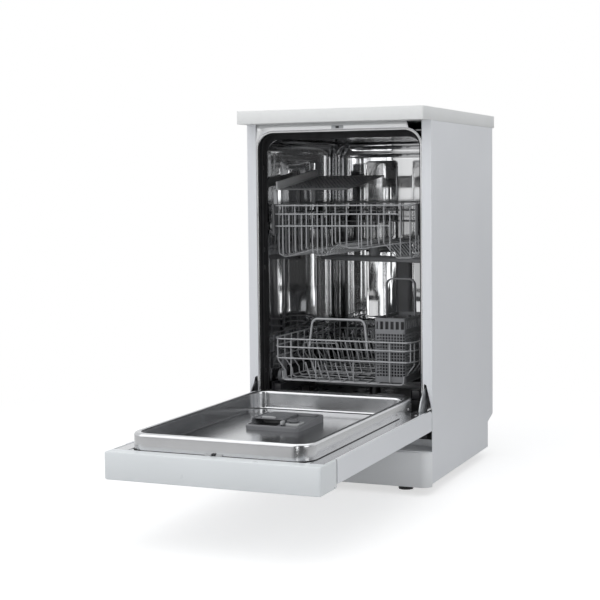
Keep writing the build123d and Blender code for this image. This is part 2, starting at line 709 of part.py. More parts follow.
# Filter plate over the sump, with the post that the lower spray arm turns on
with BuildPart() as filter_plate:
    with BuildSketch(level(FLOOR_TOP)):
        with Locations((SUMP_X, SUMP_DEPTH)):
            Circle(PLATE_RADIUS)
        with Locations((FILTER_X, FILTER_DEPTH)):
            Circle(FILTER_HOLE, mode=Mode.SUBTRACT)
    extrude(amount=PLATE_TOP - FLOOR_TOP)
    with BuildSketch(level(FLOOR_TOP)):
        with Locations((0, ARM_DEPTH)):
            Circle(POST_RADIUS)
    extrude(amount=LOWER_ARM_FOOT - RUNNING_GAP - FLOOR_TOP)
keep(filter_plate, "filter_plate")

# Filter cylinder: a cup with a flange on the plate and a grip across its top
with BuildPart() as filter_cylinder:
    with BuildSketch(level(FILTER_SEAT - FILTER_LENGTH)):
        with Locations((FILTER_X, FILTER_DEPTH)):
            Circle(FILTER_RADIUS)
    extrude(amount=FILTER_LENGTH)
    with BuildSketch(level(FILTER_SEAT)):
        with Locations((FILTER_X, FILTER_DEPTH)):
            Circle(FILTER_RADIUS + 6)
    extrude(amount=3)
    with BuildSketch(level(FILTER_SEAT + 3)):
        with Locations((FILTER_X, FILTER_DEPTH)):
            Circle(FILTER_RADIUS - 2)
    extrude(amount=-FILTER_LENGTH - 1, mode=Mode.SUBTRACT)
    grip = (FILTER_X - FILTER_RADIUS + 1, FILTER_X + FILTER_RADIUS - 1)
    block(grip, (FILTER_DEPTH - 3, FILTER_DEPTH + 3), (FILTER_SEAT - 14, FILTER_SEAT + 10))
keep(filter_cylinder, "filter_cylinder")

# Softener tank below the floor, its neck through the floor, and the salt cap
with BuildPart() as softener_tank:
    block((12 - BASE_HALF, SALT_X + 21), (SALT_DEPTH - 65, SALT_DEPTH + 75), (BASE_TOP, TANK_TOP))
    with BuildSketch(level(TANK_TOP)):
        with Locations((SALT_X, SALT_DEPTH)):
            Circle(SALT_HOLE - RUNNING_GAP)
    extrude(amount=FLOOR_TOP - TANK_TOP)
    collar = 2 * SALT_HOLE + 8
    blocks((collar, collar, 4), [(SALT_X, SALT_DEPTH, UNDER_FLOOR - 2)])
    with BuildSketch(level(FLOOR_TOP)):
        with Locations((SALT_X, SALT_DEPTH)):
            Circle(SALT_HOLE - 4)
    extrude(amount=TANK_TOP + 4 - FLOOR_TOP, mode=Mode.SUBTRACT)
keep(softener_tank, "softener_tank")

with BuildPart() as salt_cap:
    with BuildSketch(level(FLOOR_TOP + RUNNING_GAP)):
        with Locations((SALT_X, SALT_DEPTH)):
            Circle(SALT_HOLE + 3)
    extrude(amount=6)
    with BuildSketch(level(FLOOR_TOP + RUNNING_GAP)):
        with Locations((SALT_X, SALT_DEPTH)):
            Circle(SALT_HOLE - 4 - RUNNING_GAP)
    extrude(amount=-14)
    bar = (SALT_X - SALT_HOLE + 6, SALT_X + SALT_HOLE - 6)
    block(bar, (SALT_DEPTH - 3, SALT_DEPTH + 3), (FLOOR_TOP + 5, FLOOR_TOP + 14))
keep(salt_cap, "salt_cap")

# Circulation pump behind the sump, in a cradle on the base
with BuildPart() as circulation_pump:
    with BuildSketch(sideways(-70)):
        with Locations((PUMP_DEPTH, PUMP_HEIGHT)):
            Circle(MOTOR_RADIUS)
    extrude(amount=85)
    with BuildSketch(sideways(15)):
        with Locations((PUMP_DEPTH, PUMP_HEIGHT)):
            Circle(PUMP_RADIUS)
    extrude(amount=26)
    block((16, 40), (PUMP_DEPTH - PUMP_RADIUS, PUMP_DEPTH), (SUMP_FOOT + 4, SUMP_FOOT + 20))
    cradle = MOTOR_RADIUS - 11
    block((-60, 0), (PUMP_DEPTH - cradle, PUMP_DEPTH + cradle), (BASE_TOP, PUMP_HEIGHT - 20))
keep(circulation_pump, "circulation_pump")

with BuildPart() as drain_pump:
    port_end = SUMP_X + PORT_REACH
    with BuildSketch(sideways(port_end)):
        with Locations((SUMP_DEPTH, SUMP_FOOT + PORT_HEIGHT / 2)):
            Circle(PORT_WIDTH / 2)
    extrude(amount=16)
    with BuildSketch(sideways(port_end + 16)):
        with Locations((SUMP_DEPTH, SUMP_FOOT + PORT_HEIGHT / 2)):
            Circle(DRAIN_PUMP_RADIUS)
    extrude(amount=26)
keep(drain_pump, "drain_pump")

# Rear connections: inlet valve with its threaded spigot, drain spigot and cable gland
spigot_end = BASE_BACK + SPIGOT_LENGTH
behind_wall = BASE_BACK - BASE_FLOOR
with BuildPart() as inlet_valve:
    valve = (INLET_X - 22, INLET_X + 22)
    block(valve, (behind_wall - 39, behind_wall), (INLET_HEIGHT - 25, INLET_HEIGHT + 27))
    with BuildSketch(facing(behind_wall)):
        with Locations((INLET_X, INLET_HEIGHT)):
            Circle(INLET_NECK)
    extrude(amount=behind_wall - spigot_end)
    with BuildSketch(facing(spigot_end)):
        with Locations((INLET_X, INLET_HEIGHT)):
            Circle(INLET_RADIUS)
    extrude(amount=INLET_THREAD)
keep(inlet_valve, "inlet_valve")

with BuildPart() as rear_connections:
    with BuildSketch(facing(BASE_BACK)):
        with Locations((DRAIN_X, DRAIN_HEIGHT)):
            Circle(DRAIN_RADIUS + 5)
    extrude(amount=-4)
    with BuildSketch(facing(behind_wall)):
        with Locations((DRAIN_X, DRAIN_HEIGHT)):
            Circle(DRAIN_NECK)
    extrude(amount=behind_wall - spigot_end)
    with BuildSketch(facing(spigot_end)):
        with Locations((DRAIN_X, DRAIN_HEIGHT)):
            Circle(DRAIN_RADIUS)
    extrude(amount=DRAIN_GRIP)
    with BuildSketch(facing(spigot_end)):
        with Locations((DRAIN_X, DRAIN_HEIGHT)):
            Circle(DRAIN_BORE)
    extrude(amount=spigot_end - behind_wall, mode=Mode.SUBTRACT)
    gland = 2 * (CABLE_RADIUS - RUNNING_GAP)
    blocks((gland, 16, gland), [(CABLE_X, BASE_BACK + 4, DRAIN_HEIGHT)])
    blocks((gland + 8, 4, gland + 8), [(CABLE_X, BASE_BACK + 2, DRAIN_HEIGHT)])
keep(rear_connections, "rear_connections")

# Pads of felt on the inside of the side panels
with BuildPart() as insulation_pads:
    for side in (-1, 1):
        pad = sorted((side * (SIDE_INNER - 12), side * SIDE_INNER))
        block(pad, (BRACKET_BACK + 10, TUB_BACK + 15), (FRAME_STEP + 8, TUB_TOP - 13))
keep(insulation_pads, "insulation_pads")

# Water feed duct on the rear wall, with a dock for the upper basket's pipe
with BuildPart() as water_feed_pipe:
    with BuildSketch(level(FLOOR_TOP)) as duct:
        with Locations((0, (DUCT_FRONT + TUB_BACK) / 2)):
            Rectangle(2 * DUCT_HALF, TUB_BACK - DUCT_FRONT)
        fillet(duct.vertices().group_by(Axis.Y)[0], 9)
    extrude(amount=DUCT_TOP - FLOOR_TOP)
    with BuildSketch(facing(DUCT_FRONT + 5)):
        with Locations((0, FEED_HEIGHT)):
            Circle(FEED_RADIUS + 3)
    extrude(amount=5 + DUCT_FRONT - UPPER_BACK - 3)
keep(water_feed_pipe, "water_feed_pipe")

# Lower spray arm
with BuildPart() as lower_spray_arm:
    with BuildSketch(level(LOWER_ARM_FOOT)):
        tips = LOWER_ARM_REACH - TIP_RADIUS
        with Locations((0, ARM_DEPTH)):
            Circle(HUB_RADIUS)
        with Locations((-tips, ARM_DEPTH), (tips, ARM_DEPTH)):
            Circle(TIP_RADIUS)
        make_hull()
    extrude(amount=SPRAY_THICKNESS)
    chamfer(lower_spray_arm.faces().sort_by(Axis.Z)[-1].edges(), 3)
keep(lower_spray_arm, "lower_spray_arm")

# Runners for the lower basket's wheels
with BuildPart() as lower_runners:
    with BuildSketch(facing(TUB_BACK - 15)):
        for side in (-1, 1):
            Polygon(
                (side * RUNNER_INNER, LEDGE_TOP),
                (side * RUNNER_OUTER, LEDGE_TOP),
                (side * RUNNER_OUTER, RUNNER_TOP + 6),
                (side * (RUNNER_OUTER - RUNNER_LIP), RUNNER_TOP + 6),
                (side * (RUNNER_OUTER - RUNNER_LIP), RUNNER_TOP),
                (side * RUNNER_INNER, RUNNER_TOP),
                align=None,
            )
    extrude(amount=TUB_BACK - 15 - RUNNER_FRONT)
keep(lower_runners, "lower_runners")

# Studs and rollers that carry the upper basket
with BuildPart() as roller_studs:
    for side in (-1, 1):
        with BuildSketch(sideways(side * TUB_HALF)):
            with Locations((FRONT_ROLLER, ROLLER_HEIGHT), (REAR_ROLLER, ROLLER_HEIGHT)):
                Rectangle(ROLLER_BOSS, ROLLER_BOSS)
        extrude(amount=-side * (TUB_HALF - ROLLER_OUTER - 1))
        with BuildSketch(sideways(side * (ROLLER_OUTER + 1))):
            with Locations((FRONT_ROLLER, ROLLER_HEIGHT), (REAR_ROLLER, ROLLER_HEIGHT)):
                Circle(ROLLER_PIN)
        extrude(amount=-side * (ROLLER_OUTER + 1 - ROLLER_INNER))
keep(roller_studs, "roller_studs")


def roller_pair(depth, height, radius, bore, inner, outer):
    """Two rollers on one axis, one each side."""
    with BuildPart() as pair:
        for side in (-1, 1):
            with BuildSketch(sideways(side * inner)):
                with Locations((depth, height)):
                    Circle(radius)
                    Circle(bore, mode=Mode.SUBTRACT)
            extrude(amount=side * (outer - inner))
    return pair


for name, depth in (("rail_rollers_front", FRONT_ROLLER), ("rail_rollers_rear", REAR_ROLLER)):
    bore = ROLLER_PIN + RUNNING_GAP
    rollers = roller_pair(depth, ROLLER_HEIGHT, ROLLER_RADIUS, bore, ROLLER_INNER, ROLLER_OUTER)
    keep(rollers, name)

# Wheels of the lower basket
for name, depth in (("lower_wheels_front", FRONT_WHEEL), ("lower_wheels_rear", REAR_WHEEL)):
    bore = AXLE_RADIUS + RUNNING_GAP
    wheels = roller_pair(depth, WHEEL_HEIGHT, WHEEL_RADIUS, bore, WHEEL_INNER, WHEEL_OUTER)
    keep(wheels, name)

# Lower basket floor: cross wires below, long wires welded on top
with BuildPart() as lower_basket_floor:
    crossing = [(0, LOWER_FIRST + LOWER_PITCH * i, LOWER_FLOOR + WIRE / 2) for i in range(LOWER_WIRES)]
    blocks((2 * BASKET_HALF, WIRE, WIRE), crossing)
    long_length = LOWER_BACK - LOWER_FRONT - 2 * WIRE
    long_middle = (LOWER_FRONT + LOWER_BACK) / 2
    lengthwise = [(side * x, long_middle, LOWER_FLOOR + WIRE * 1.5) for x in LOWER_LONG for side in (-1, 1)]
    blocks((WIRE, long_length, WIRE), lengthwise)
keep(lower_basket_floor, "lower_basket_floor")

# Lower basket walls: four welded frames, wheel plates and the arch handle
with BuildPart() as lower_basket_walls:
    rail_top = LOWER_RAILS[-1] + WIRE / 2
    corner_depth = LOWER_FRONT + LOWER_CORNER_DEPTH
    side_length = LOWER_BACK - corner_depth - WELD_GAP
    side_rails = [
        (side * (BASKET_HALF - WIRE / 2), LOWER_BACK - side_length / 2, height)
        for height in LOWER_RAILS
        for side in (-1, 1)
    ]
    blocks((WIRE, side_length, WIRE), side_rails)
    post_foot = LOWER_FLOOR + WIRE
    posts = [
        (side * (BASKET_HALF - WIRE * 1.5), depth, (post_foot + rail_top) / 2)
        for _, depth, _ in crossing
        for side in (-1, 1)
    ]
    blocks((WIRE, WIRE, rail_top - post_foot), posts)
    front_rails = [(0, LOWER_FRONT + WIRE / 2, height) for height in LOWER_RAILS]
    blocks((2 * (BASKET_HALF - LOWER_CORNER_X), WIRE, WIRE), front_rails)
    # Slanting corners, with one post each, close the front to the sides
    run_x = LOWER_CORNER_X - WELD_GAP
    run_depth = LOWER_CORNER_DEPTH - WELD_GAP
    slant = math.hypot(run_x, run_depth)
    for side in (-1, 1):
        corner = BASKET_HALF - run_x
        for height in LOWER_RAILS:
            with BuildSketch(level(height - WIRE / 2)):
                Polygon(
                    (side * corner, LOWER_FRONT),
                    (side * BASKET_HALF, LOWER_FRONT + run_depth),
                    (side * (BASKET_HALF - WIRE * slant / run_depth), LOWER_FRONT + run_depth),
                    (side * corner, LOWER_FRONT + WIRE * slant / run_x),
                    align=None,
                )
            extrude(amount=WIRE)
        post = (side * (corner + run_x / 2 - WIRE), LOWER_FRONT + run_depth / 2 + WIRE / 2)
        blocks((WIRE, WIRE, rail_top - LOWER_RAILS[0]), [(*post, (rail_top + LOWER_RAILS[0]) / 2)])
    back_rails = [(0, LOWER_BACK - WIRE / 2, height) for height in LOWER_RAILS]
    blocks((2 * (BASKET_HALF - WIRE - WELD_GAP), WIRE, WIRE), back_rails)
    uprights = [
        (side * x, depth, (LOWER_FLOOR_TOP + rail_top) / 2)
        for x in LOWER_LONG
        for side in (-1, 1)
        for depth in (LOWER_FRONT + WIRE * 1.5, LOWER_BACK - WIRE * 1.5)
    ]
    blocks((WIRE, WIRE, rail_top - LOWER_FLOOR_TOP), uprights)
    with BuildSketch(facing(LOWER_FRONT + 2 * WIRE + WELD_GAP)):
        with BuildLine():
            FilletPolyline(
                (HANDLE_LEFT, LOWER_RAILS[1]),
                (HANDLE_LEFT, HANDLE_TOP - WIRE),
                (HANDLE_RIGHT, HANDLE_TOP - WIRE),
                (HANDLE_RIGHT, LOWER_RAILS[1]),
                radius=22,
            )
        trace(line_width=1.5 * WIRE)
    extrude(amount=WIRE)
    for side in (-1, 1):
        for depth in (FRONT_WHEEL, REAR_WHEEL):
            plate = sorted((side * BASKET_HALF, side * (WHEEL_INNER - RUNNING_GAP)))
            block(plate, (depth - 12, depth + 12), (WHEEL_HEIGHT - 10, LOWER_RAILS[0] + WIRE / 2))
            with BuildSketch(sideways(plate[0])):
                with Locations((depth, WHEEL_HEIGHT)):
                    Circle(AXLE_RADIUS)
            extrude(amount=side * (WHEEL_OUTER + 0.6 - plate[0] * side))
keep(lower_basket_walls, "lower_basket_walls")

# Rows of tines that lean to the left, each row on its own rod
with BuildPart() as lower_basket_tines:
    row_height = LOWER_FLOOR_TOP + WIRE / 2
    tine_xs = [TINE_LEFT + TINE_PITCH * i for i in range(TINES)]
    row_middle = (tine_xs[0] + tine_xs[-1]) / 2
    blocks((tine_xs[-1] - tine_xs[0] + WIRE, WIRE, WIRE), [(row_middle, d, row_height) for d in TINE_ROWS])
    lean = math.radians(TINE_LEAN)
    shift = math.sin(lean) * TINE_HEIGHT / 2
    height = row_height + math.cos(lean) * TINE_HEIGHT / 2
    for depth in TINE_ROWS:
        with Locations(*[Location((x - shift, FRONT + depth, height), (0, -TINE_LEAN, 0)) for x in tine_xs]):
            Box(WIRE, WIRE, TINE_HEIGHT)
keep(lower_basket_tines, "lower_basket_tines")

# Cutlery basket with slotted walls and a bow handle
with BuildPart() as cutlery_basket:
    length = CUTLERY_BACK - CUTLERY_FRONT
    width = CUTLERY_RIGHT - CUTLERY_LEFT
    middle_x = (CUTLERY_LEFT + CUTLERY_RIGHT) / 2
    middle_depth = (CUTLERY_FRONT + CUTLERY_BACK) / 2
    block((CUTLERY_LEFT, CUTLERY_RIGHT), (CUTLERY_FRONT, CUTLERY_BACK), (LOWER_FLOOR_TOP, CUTLERY_TOP))
    fillet(cutlery_basket.edges().filter_by(Axis.Z), CUTLERY_CORNER)
    with BuildSketch(level(LOWER_FLOOR_TOP + CUTLERY_WALL)):
        across = (CUTLERY_LEFT + CUTLERY_WALL, CUTLERY_RIGHT - CUTLERY_WALL)
        along = (CUTLERY_FRONT + CUTLERY_WALL, CUTLERY_BACK - CUTLERY_WALL)
        add(rounded(across, along, CUTLERY_CORNER - CUTLERY_WALL))
    extrude(amount=CUTLERY_TOP - LOWER_FLOOR_TOP, mode=Mode.SUBTRACT)
    slot_rows = (LOWER_FLOOR_TOP + 38, LOWER_FLOOR_TOP + 74, CUTLERY_TOP - 22)
    slot_height = 26
    slot_xs = [middle_x + (i - 1) * 20 for i in range(3)]
    blocks((12, length + 2, slot_height), [(x, middle_depth, z) for x in slot_xs for z in slot_rows], Mode.SUBTRACT)
    slot_depths = [middle_depth + (i - 2) * 32 for i in range(5)]
    blocks((width + 2, 22, slot_height), [(middle_x, d, z) for d in slot_depths for z in slot_rows], Mode.SUBTRACT)
    bow_half = width / 2 - 1
    with BuildSketch(facing(CUTLERY_HANDLE_DEPTH + 5)):
        with BuildLine():
            FilletPolyline(
                (middle_x - bow_half, CUTLERY_TOP - 8),
                (middle_x - bow_half, CUTLERY_HANDLE_TOP - 2),
                (middle_x + bow_half, CUTLERY_HANDLE_TOP - 2),
                (middle_x + bow_half, CUTLERY_TOP - 8),
                radius=16,
            )
        trace(line_width=4)
    extrude(amount=10)
keep(cutlery_basket, "cutlery_basket")

# Upper basket floor: cross wires bent to a rising and falling line, for cups
upper_depths = [UPPER_FIRST + UPPER_PITCH * i for i in range(UPPER_WIRES)]


def bend_height(x):
    """The height of the bent cross wires at x."""
    for (x0, z0), (x1, z1) in zip(UPPER_BEND, UPPER_BEND[1:]):
        if x0 <= x <= x1:
            return z0 + (z1 - z0) * (x - x0) / (x1 - x0)


with BuildPart() as upper_basket_floor:
    for depth in upper_depths:
        with BuildSketch(facing(depth + WIRE / 2)):
            with BuildLine():
                Polyline(*UPPER_BEND)
            trace(line_width=WIRE)
        extrude(amount=WIRE)
    long_length = UPPER_BACK - UPPER_FRONT - 2 * WIRE
    long_middle = (UPPER_FRONT + UPPER_BACK) / 2
    blocks((WIRE, long_length, WIRE), [(x, long_middle, bend_height(x) + WIRE * 0.8) for x in UPPER_LONG])
keep(upper_basket_floor, "upper_basket_floor")

# Upper basket walls: four welded frames
with BuildPart() as upper_basket_walls:
    rail_top = UPPER_RAILS[-1] + WIRE / 2
    side_foot = UPPER_FLOOR + 4 + WIRE / 2 + 1
    side_length = UPPER_BACK - UPPER_FRONT - 2 * WIRE - 2 * WELD_GAP
    rails = [(side * (BASKET_HALF - WIRE / 2), long_middle, z) for z in UPPER_RAILS for side in (-1, 1)]
    blocks((WIRE, side_length, WIRE), rails)
    posts = [
        (side * (BASKET_HALF - WIRE * 1.5), depth, (side_foot + rail_top) / 2)
        for depth in upper_depths
        for side in (-1, 1)
    ]
    blocks((WIRE, WIRE, rail_top - side_foot), posts)
    rails = [(0, depth, z) for z in UPPER_RAILS for depth in (UPPER_FRONT + WIRE / 2, UPPER_BACK - WIRE / 2)]
    blocks((2 * BASKET_HALF, WIRE, WIRE), rails)
    for x in UPPER_LONG:
        foot = bend_height(x) + WIRE * 1.3
        uprights = [
            (x, depth, (foot + rail_top) / 2)
            for depth in (UPPER_FRONT + WIRE * 1.5, UPPER_BACK - WIRE * 1.5)
        ]
        blocks((WIRE, WIRE, rail_top - foot), uprights)
keep(upper_basket_walls, "upper_basket_walls")

# Channels that run on the rollers, held to the basket by plastic brackets
with BuildPart() as upper_channels:
    channel_half = ROLLER_RADIUS + RUNNING_GAP
    web = CHANNEL_WEB - CHANNEL_SHEET / 2
    lip = ROLLER_OUTER + 0.7
    for side in (-1, 1):
        with BuildSketch(facing(UPPER_BACK - 5)):
            with BuildLine():
                Polyline(
                    (side * lip, ROLLER_HEIGHT + channel_half + CHANNEL_SHEET / 2),
                    (side * web, ROLLER_HEIGHT + channel_half + CHANNEL_SHEET / 2),
                    (side * web, ROLLER_HEIGHT - channel_half - CHANNEL_SHEET / 2),
                    (side * lip, ROLLER_HEIGHT - channel_half - CHANNEL_SHEET / 2),
                )
            trace(line_width=CHANNEL_SHEET)
        extrude(amount=UPPER_BACK - 5 - CHANNEL_FRONT)
        for depth in (112, 465):
            bracket = sorted((side * BASKET_HALF, side * (web - CHANNEL_SHEET / 2)))
            block(bracket, (depth - 16, depth + 16), (ROLLER_HEIGHT - 20, UPPER_RAILS[-1] + WIRE / 2))
keep(upper_channels, "upper_channels")

# Upper spray arm and the pipe that feeds it
turn = math.radians(UPPER_ARM_TURN)
with BuildPart() as upper_spray_arm:
    turned = Plane(
        origin=(0, FRONT + ARM_DEPTH, UPPER_ARM_TOP),
        x_dir=(math.cos(turn), math.sin(turn), 0),
        z_dir=(0, 0, 1),
    )
    with BuildSketch(turned):
        tips = UPPER_ARM_REACH - TIP_RADIUS
        Circle(HUB_RADIUS)
        with Locations((-tips, 0), (tips, 0)):
            Circle(TIP_RADIUS)
        make_hull()
    extrude(amount=-SPRAY_THICKNESS)
    chamfer(upper_spray_arm.faces().sort_by(Axis.Z)[-1].edges(), 3)
keep(upper_spray_arm, "upper_spray_arm")

with BuildPart() as upper_spray_feed:
    with BuildSketch(facing(UPPER_BACK + 2)):
        with Locations((0, FEED_HEIGHT)):
            Circle(FEED_RADIUS)
    extrude(amount=UPPER_BACK + 2 - ARM_DEPTH)
    with BuildSketch(level(UPPER_ARM_TOP + RUNNING_GAP)):
        with Locations((0, ARM_DEPTH)):
            Circle(FEED_RADIUS + 4)
    extrude(amount=FEED_HEIGHT + FEED_RADIUS - UPPER_ARM_TOP - RUNNING_GAP)
    clip_top = bend_height(5) - WIRE / 2 - RUNNING_GAP
    for depth in (upper_depths[5], upper_depths[-1]):
        block((-5, 5), (depth - 4, depth + 4), (FEED_HEIGHT, clip_top))
keep(upper_spray_feed, "upper_spray_feed")

# Cup shelf, folded down over the left half of the upper basket
slope = math.atan2(SHELF_RISE, SHELF_LENGTH)
shelf_plane = Plane(
    origin=(SHELF_X, FRONT + SHELF_FRONT, SHELF_FOOT),
    x_dir=(1, 0, 0),
    z_dir=(0, -math.sin(slope), math.cos(slope)),
)
rod_plane = Plane(
    origin=(ROD_X, FRONT + SHELF_FRONT, SHELF_FOOT),
    x_dir=(1, 0, 0),
    z_dir=(0, math.cos(slope), math.sin(slope)),
)
with BuildPart() as cup_shelf:
    with BuildSketch(shelf_plane):
        with Locations((SHELF_WIDTH / 2, SHELF_LENGTH / 2)):
            Rectangle(SHELF_WIDTH, SHELF_LENGTH)
            cells = (SHELF_WIDTH - SHELF_BAR) / 4, (SHELF_LENGTH - SHELF_BAR) / 7
            with GridLocations(cells[0], cells[1], 4, 7):
                Rectangle(cells[0] - SHELF_BAR, cells[1] - SHELF_BAR, mode=Mode.SUBTRACT)
    extrude(amount=SHELF_SHEET)
    with BuildSketch(shelf_plane):
        with Locations((MOULDING / 2, SHELF_LENGTH / 2)):
            Rectangle(MOULDING, SHELF_LENGTH)
    extrude(amount=SHELF_UPSTAND)
    for along in KNUCKLES:
        with BuildSketch(rod_plane.offset(along)):
            Circle(KNUCKLE_RADIUS)
        extrude(amount=KNUCKLE_LENGTH)
    with BuildSketch(rod_plane):
        Circle(WIRE / 2 + RUNNING_GAP)
    extrude(amount=SHELF_LENGTH, mode=Mode.SUBTRACT)
keep(cup_shelf, "cup_shelf")

# Bracket of the cup shelf: the rod that it folds on, and two props on the basket's rail
with BuildPart() as shelf_bracket:
    with BuildSketch(rod_plane):
        Circle(WIRE / 2)
    extrude(amount=SHELF_LENGTH)
    for depth in (SHELF_FRONT + 8, SHELF_FRONT + SHELF_LENGTH - 12):
        prop_top = SHELF_FOOT + (depth - SHELF_FRONT) * math.tan(slope)
        prop = (-BASKET_HALF, ROD_X + WIRE / 2)
        block(prop, (depth - WIRE, depth + WIRE), (UPPER_RAILS[-1] + WIRE / 2, prop_top))
keep(shelf_bracket, "shelf_bracket")

# Inner door: a pressed steel pan with a hollow raised rim
with BuildPart() as door_liner:
    block((-LINER_HALF, LINER_HALF), (-STRIP_BACK, LINER_HINGE_END), (FACE_TOP - SHEET, FACE_TOP))
    block((-LINER_HINGE_HALF, LINER_HINGE_HALF), (LINER_HINGE_END, PAN_BACK), (FACE_TOP - SHEET, FACE_TOP))
    with BuildSketch(level(FACE_TOP - SHEET)):
        add(rounded((-PAN_HALF, PAN_HALF), (-PAN_FRONT, PAN_BACK), PAN_RADIUS))
    extrude(amount=PAN_RIM - FACE_TOP + SHEET)
    with BuildSketch(level(FACE_TOP - SHEET)):
        inset = (-PAN_HALF + SHEET, PAN_HALF - SHEET)
        add(rounded(inset, (-PAN_FRONT + SHEET, PAN_BACK - SHEET), PAN_RADIUS - SHEET))
    extrude(amount=PAN_RIM - FACE_TOP, mode=Mode.SUBTRACT)
    with BuildSketch(level(RECESS_FLOOR - SHEET)):
        wall = (-RECESS_HALF - SHEET, RECESS_HALF + SHEET)
        add(rounded(wall, (-RECESS_FRONT - SHEET, RECESS_BACK + SHEET), RECESS_RADIUS + SHEET))
    extrude(amount=PAN_RIM - RECESS_FLOOR + SHEET)
    with BuildSketch(level(RECESS_FLOOR)):
        add(rounded((-RECESS_HALF, RECESS_HALF), (-RECESS_FRONT, RECESS_BACK), RECESS_RADIUS))
    extrude(amount=PAN_RIM - RECESS_FLOOR, mode=Mode.SUBTRACT)
keep(door_liner, "door_liner")

# Outer door panel, with side skirts rounded at the hinge and a lower lip
with BuildPart() as door_outer_panel:
    block((-BODY_HALF, BODY_HALF), (-FASCIA_BACK, PANEL_HINGE_END), (PANEL_FACE, PANEL_FACE + SHEET))
    block((-LIP_HALF, LIP_HALF), (PANEL_HINGE_END, LIP_REACH), (PANEL_FACE, PANEL_FACE + SHEET))
    for side in (-1, 1):
        with BuildSketch(sideways(side * SIDE_INNER)):
            Polygon(
                (-FASCIA_BACK, PANEL_FACE),
                (PANEL_HINGE_END, PANEL_FACE),
                (PANEL_HINGE_END, PIVOT_HEIGHT),
                (PIVOT_DEPTH, PIVOT_HEIGHT),
                (PIVOT_DEPTH, PIVOT_HEIGHT + SKIRT_CURVE),
                (PIVOT_DEPTH, DOOR_TOP - 0.5),
                (LINER_HINGE_END, DOOR_TOP - 0.5),
                (LINER_HINGE_END, DOOR_TOP),
                (-FASCIA_BACK, DOOR_TOP),
                align=None,
            )
            with Locations((PIVOT_DEPTH, PIVOT_HEIGHT)):
                Circle(SKIRT_CURVE)
        extrude(amount=side * SHEET)
        edge = sorted((side * (LINER_HALF + RUNNING_GAP), side * SIDE_INNER))
        block(edge, (-FASCIA_BACK, LINER_HINGE_END), (DOOR_TOP - SHEET, DOOR_TOP))
keep(door_outer_panel, "door_outer_panel")

# Control fascia: a hollow moulding with a grip pocket, button holes and a window
with BuildPart() as control_fascia:
    fascia_end = -FASCIA_BACK - RUNNING_GAP
    block((-BODY_HALF, BODY_HALF), (-DOOR_REACH, fascia_end), (FASCIA_FACE, DOOR_TOP))
    fillet(control_fascia.edges().filter_by(Axis.X).sort_by(Axis.Z)[0:2].sort_by(Axis.Y)[0], 6)
    hollow = (FASCIA_WALL - BODY_HALF, BODY_HALF - FASCIA_WALL)
    block(
        hollow,
        (-DOOR_REACH + MOULDING, fascia_end - MOULDING),
        (FASCIA_FACE + MOULDING, DOOR_TOP - MOULDING),
        Mode.SUBTRACT,
    )
    open_back = (-STRIP_BACK - RUNNING_GAP, fascia_end)
    block(hollow, open_back, (FACE_TOP - SHEET, DOOR_TOP), Mode.SUBTRACT)
    under_recess = (-RECESS_HALF - 2, RECESS_HALF + 2)
    block(under_recess, open_back, (RECESS_FLOOR - SHEET - RUNNING_GAP, DOOR_TOP), Mode.SUBTRACT)
    pocket_top = FASCIA_FACE + GRIP_POCKET
    shell = (-GRIP_HALF - MOULDING, GRIP_HALF + MOULDING)
    block(shell, (-GRIP_HIGH - MOULDING, -GRIP_LOW + MOULDING), (FASCIA_FACE, pocket_top + MOULDING))
    block((-GRIP_HALF, GRIP_HALF), (-GRIP_HIGH, -GRIP_LOW), (FASCIA_FACE, pocket_top), Mode.SUBTRACT)
    with BuildSketch(level(FASCIA_FACE)):
        with Locations(*[(x, -BUTTON_DEPTH) for _, x in BUTTONS]):
            Rectangle(BUTTON_WIDTH + 2 * RUNNING_GAP, BUTTON_LENGTH + 2 * RUNNING_GAP)
        with Locations((WINDOW_MIDDLE, -BUTTON_DEPTH)):
            Rectangle(WINDOW_WIDTH + 2 * RUNNING_GAP, WINDOW_HEIGHT + 2 * RUNNING_GAP)
    extrude(amount=MOULDING, mode=Mode.SUBTRACT)
    catch = (LATCH_X - 5, LATCH_X + 5)
    catch_depths = (-STRIP_BACK - 7, -STRIP_BACK - 2)
    block(catch, catch_depths, (DOOR_TOP - MOULDING, DOOR_TOP), Mode.SUBTRACT)
keep(control_fascia, "control_fascia")

with BuildPart() as display_window:
    with BuildSketch(level(FASCIA_FACE)):
        with Locations((WINDOW_MIDDLE, -BUTTON_DEPTH)):
            Rectangle(WINDOW_WIDTH, WINDOW_HEIGHT)
    extrude(amount=MOULDING)
    with BuildSketch(level(FASCIA_FACE + MOULDING)):
        with Locations((WINDOW_MIDDLE, -BUTTON_DEPTH)):
            Rectangle(WINDOW_WIDTH + WINDOW_LEDGE, WINDOW_HEIGHT + WINDOW_LEDGE)
    extrude(amount=1.5)
keep(display_window, "display_window")

# Buttons: a cap in its hole, with a collar behind the face
for name, x in BUTTONS:
    with BuildPart() as button:
        with BuildSketch(level(FASCIA_FACE - BUTTON_PROUD)):
            with Locations((x, -BUTTON_DEPTH)):
                Rectangle(BUTTON_WIDTH, BUTTON_LENGTH)
        extrude(amount=BUTTON_PROUD + MOULDING + 2 * BUTTON_TRAVEL)
        with BuildSketch(level(FASCIA_FACE + MOULDING + RUNNING_GAP)):
            with Locations((x, -BUTTON_DEPTH)):
                Rectangle(BUTTON_WIDTH + BUTTON_COLLAR, BUTTON_LENGTH + BUTTON_COLLAR)
        extrude(amount=1.5)
    keep(button, name)

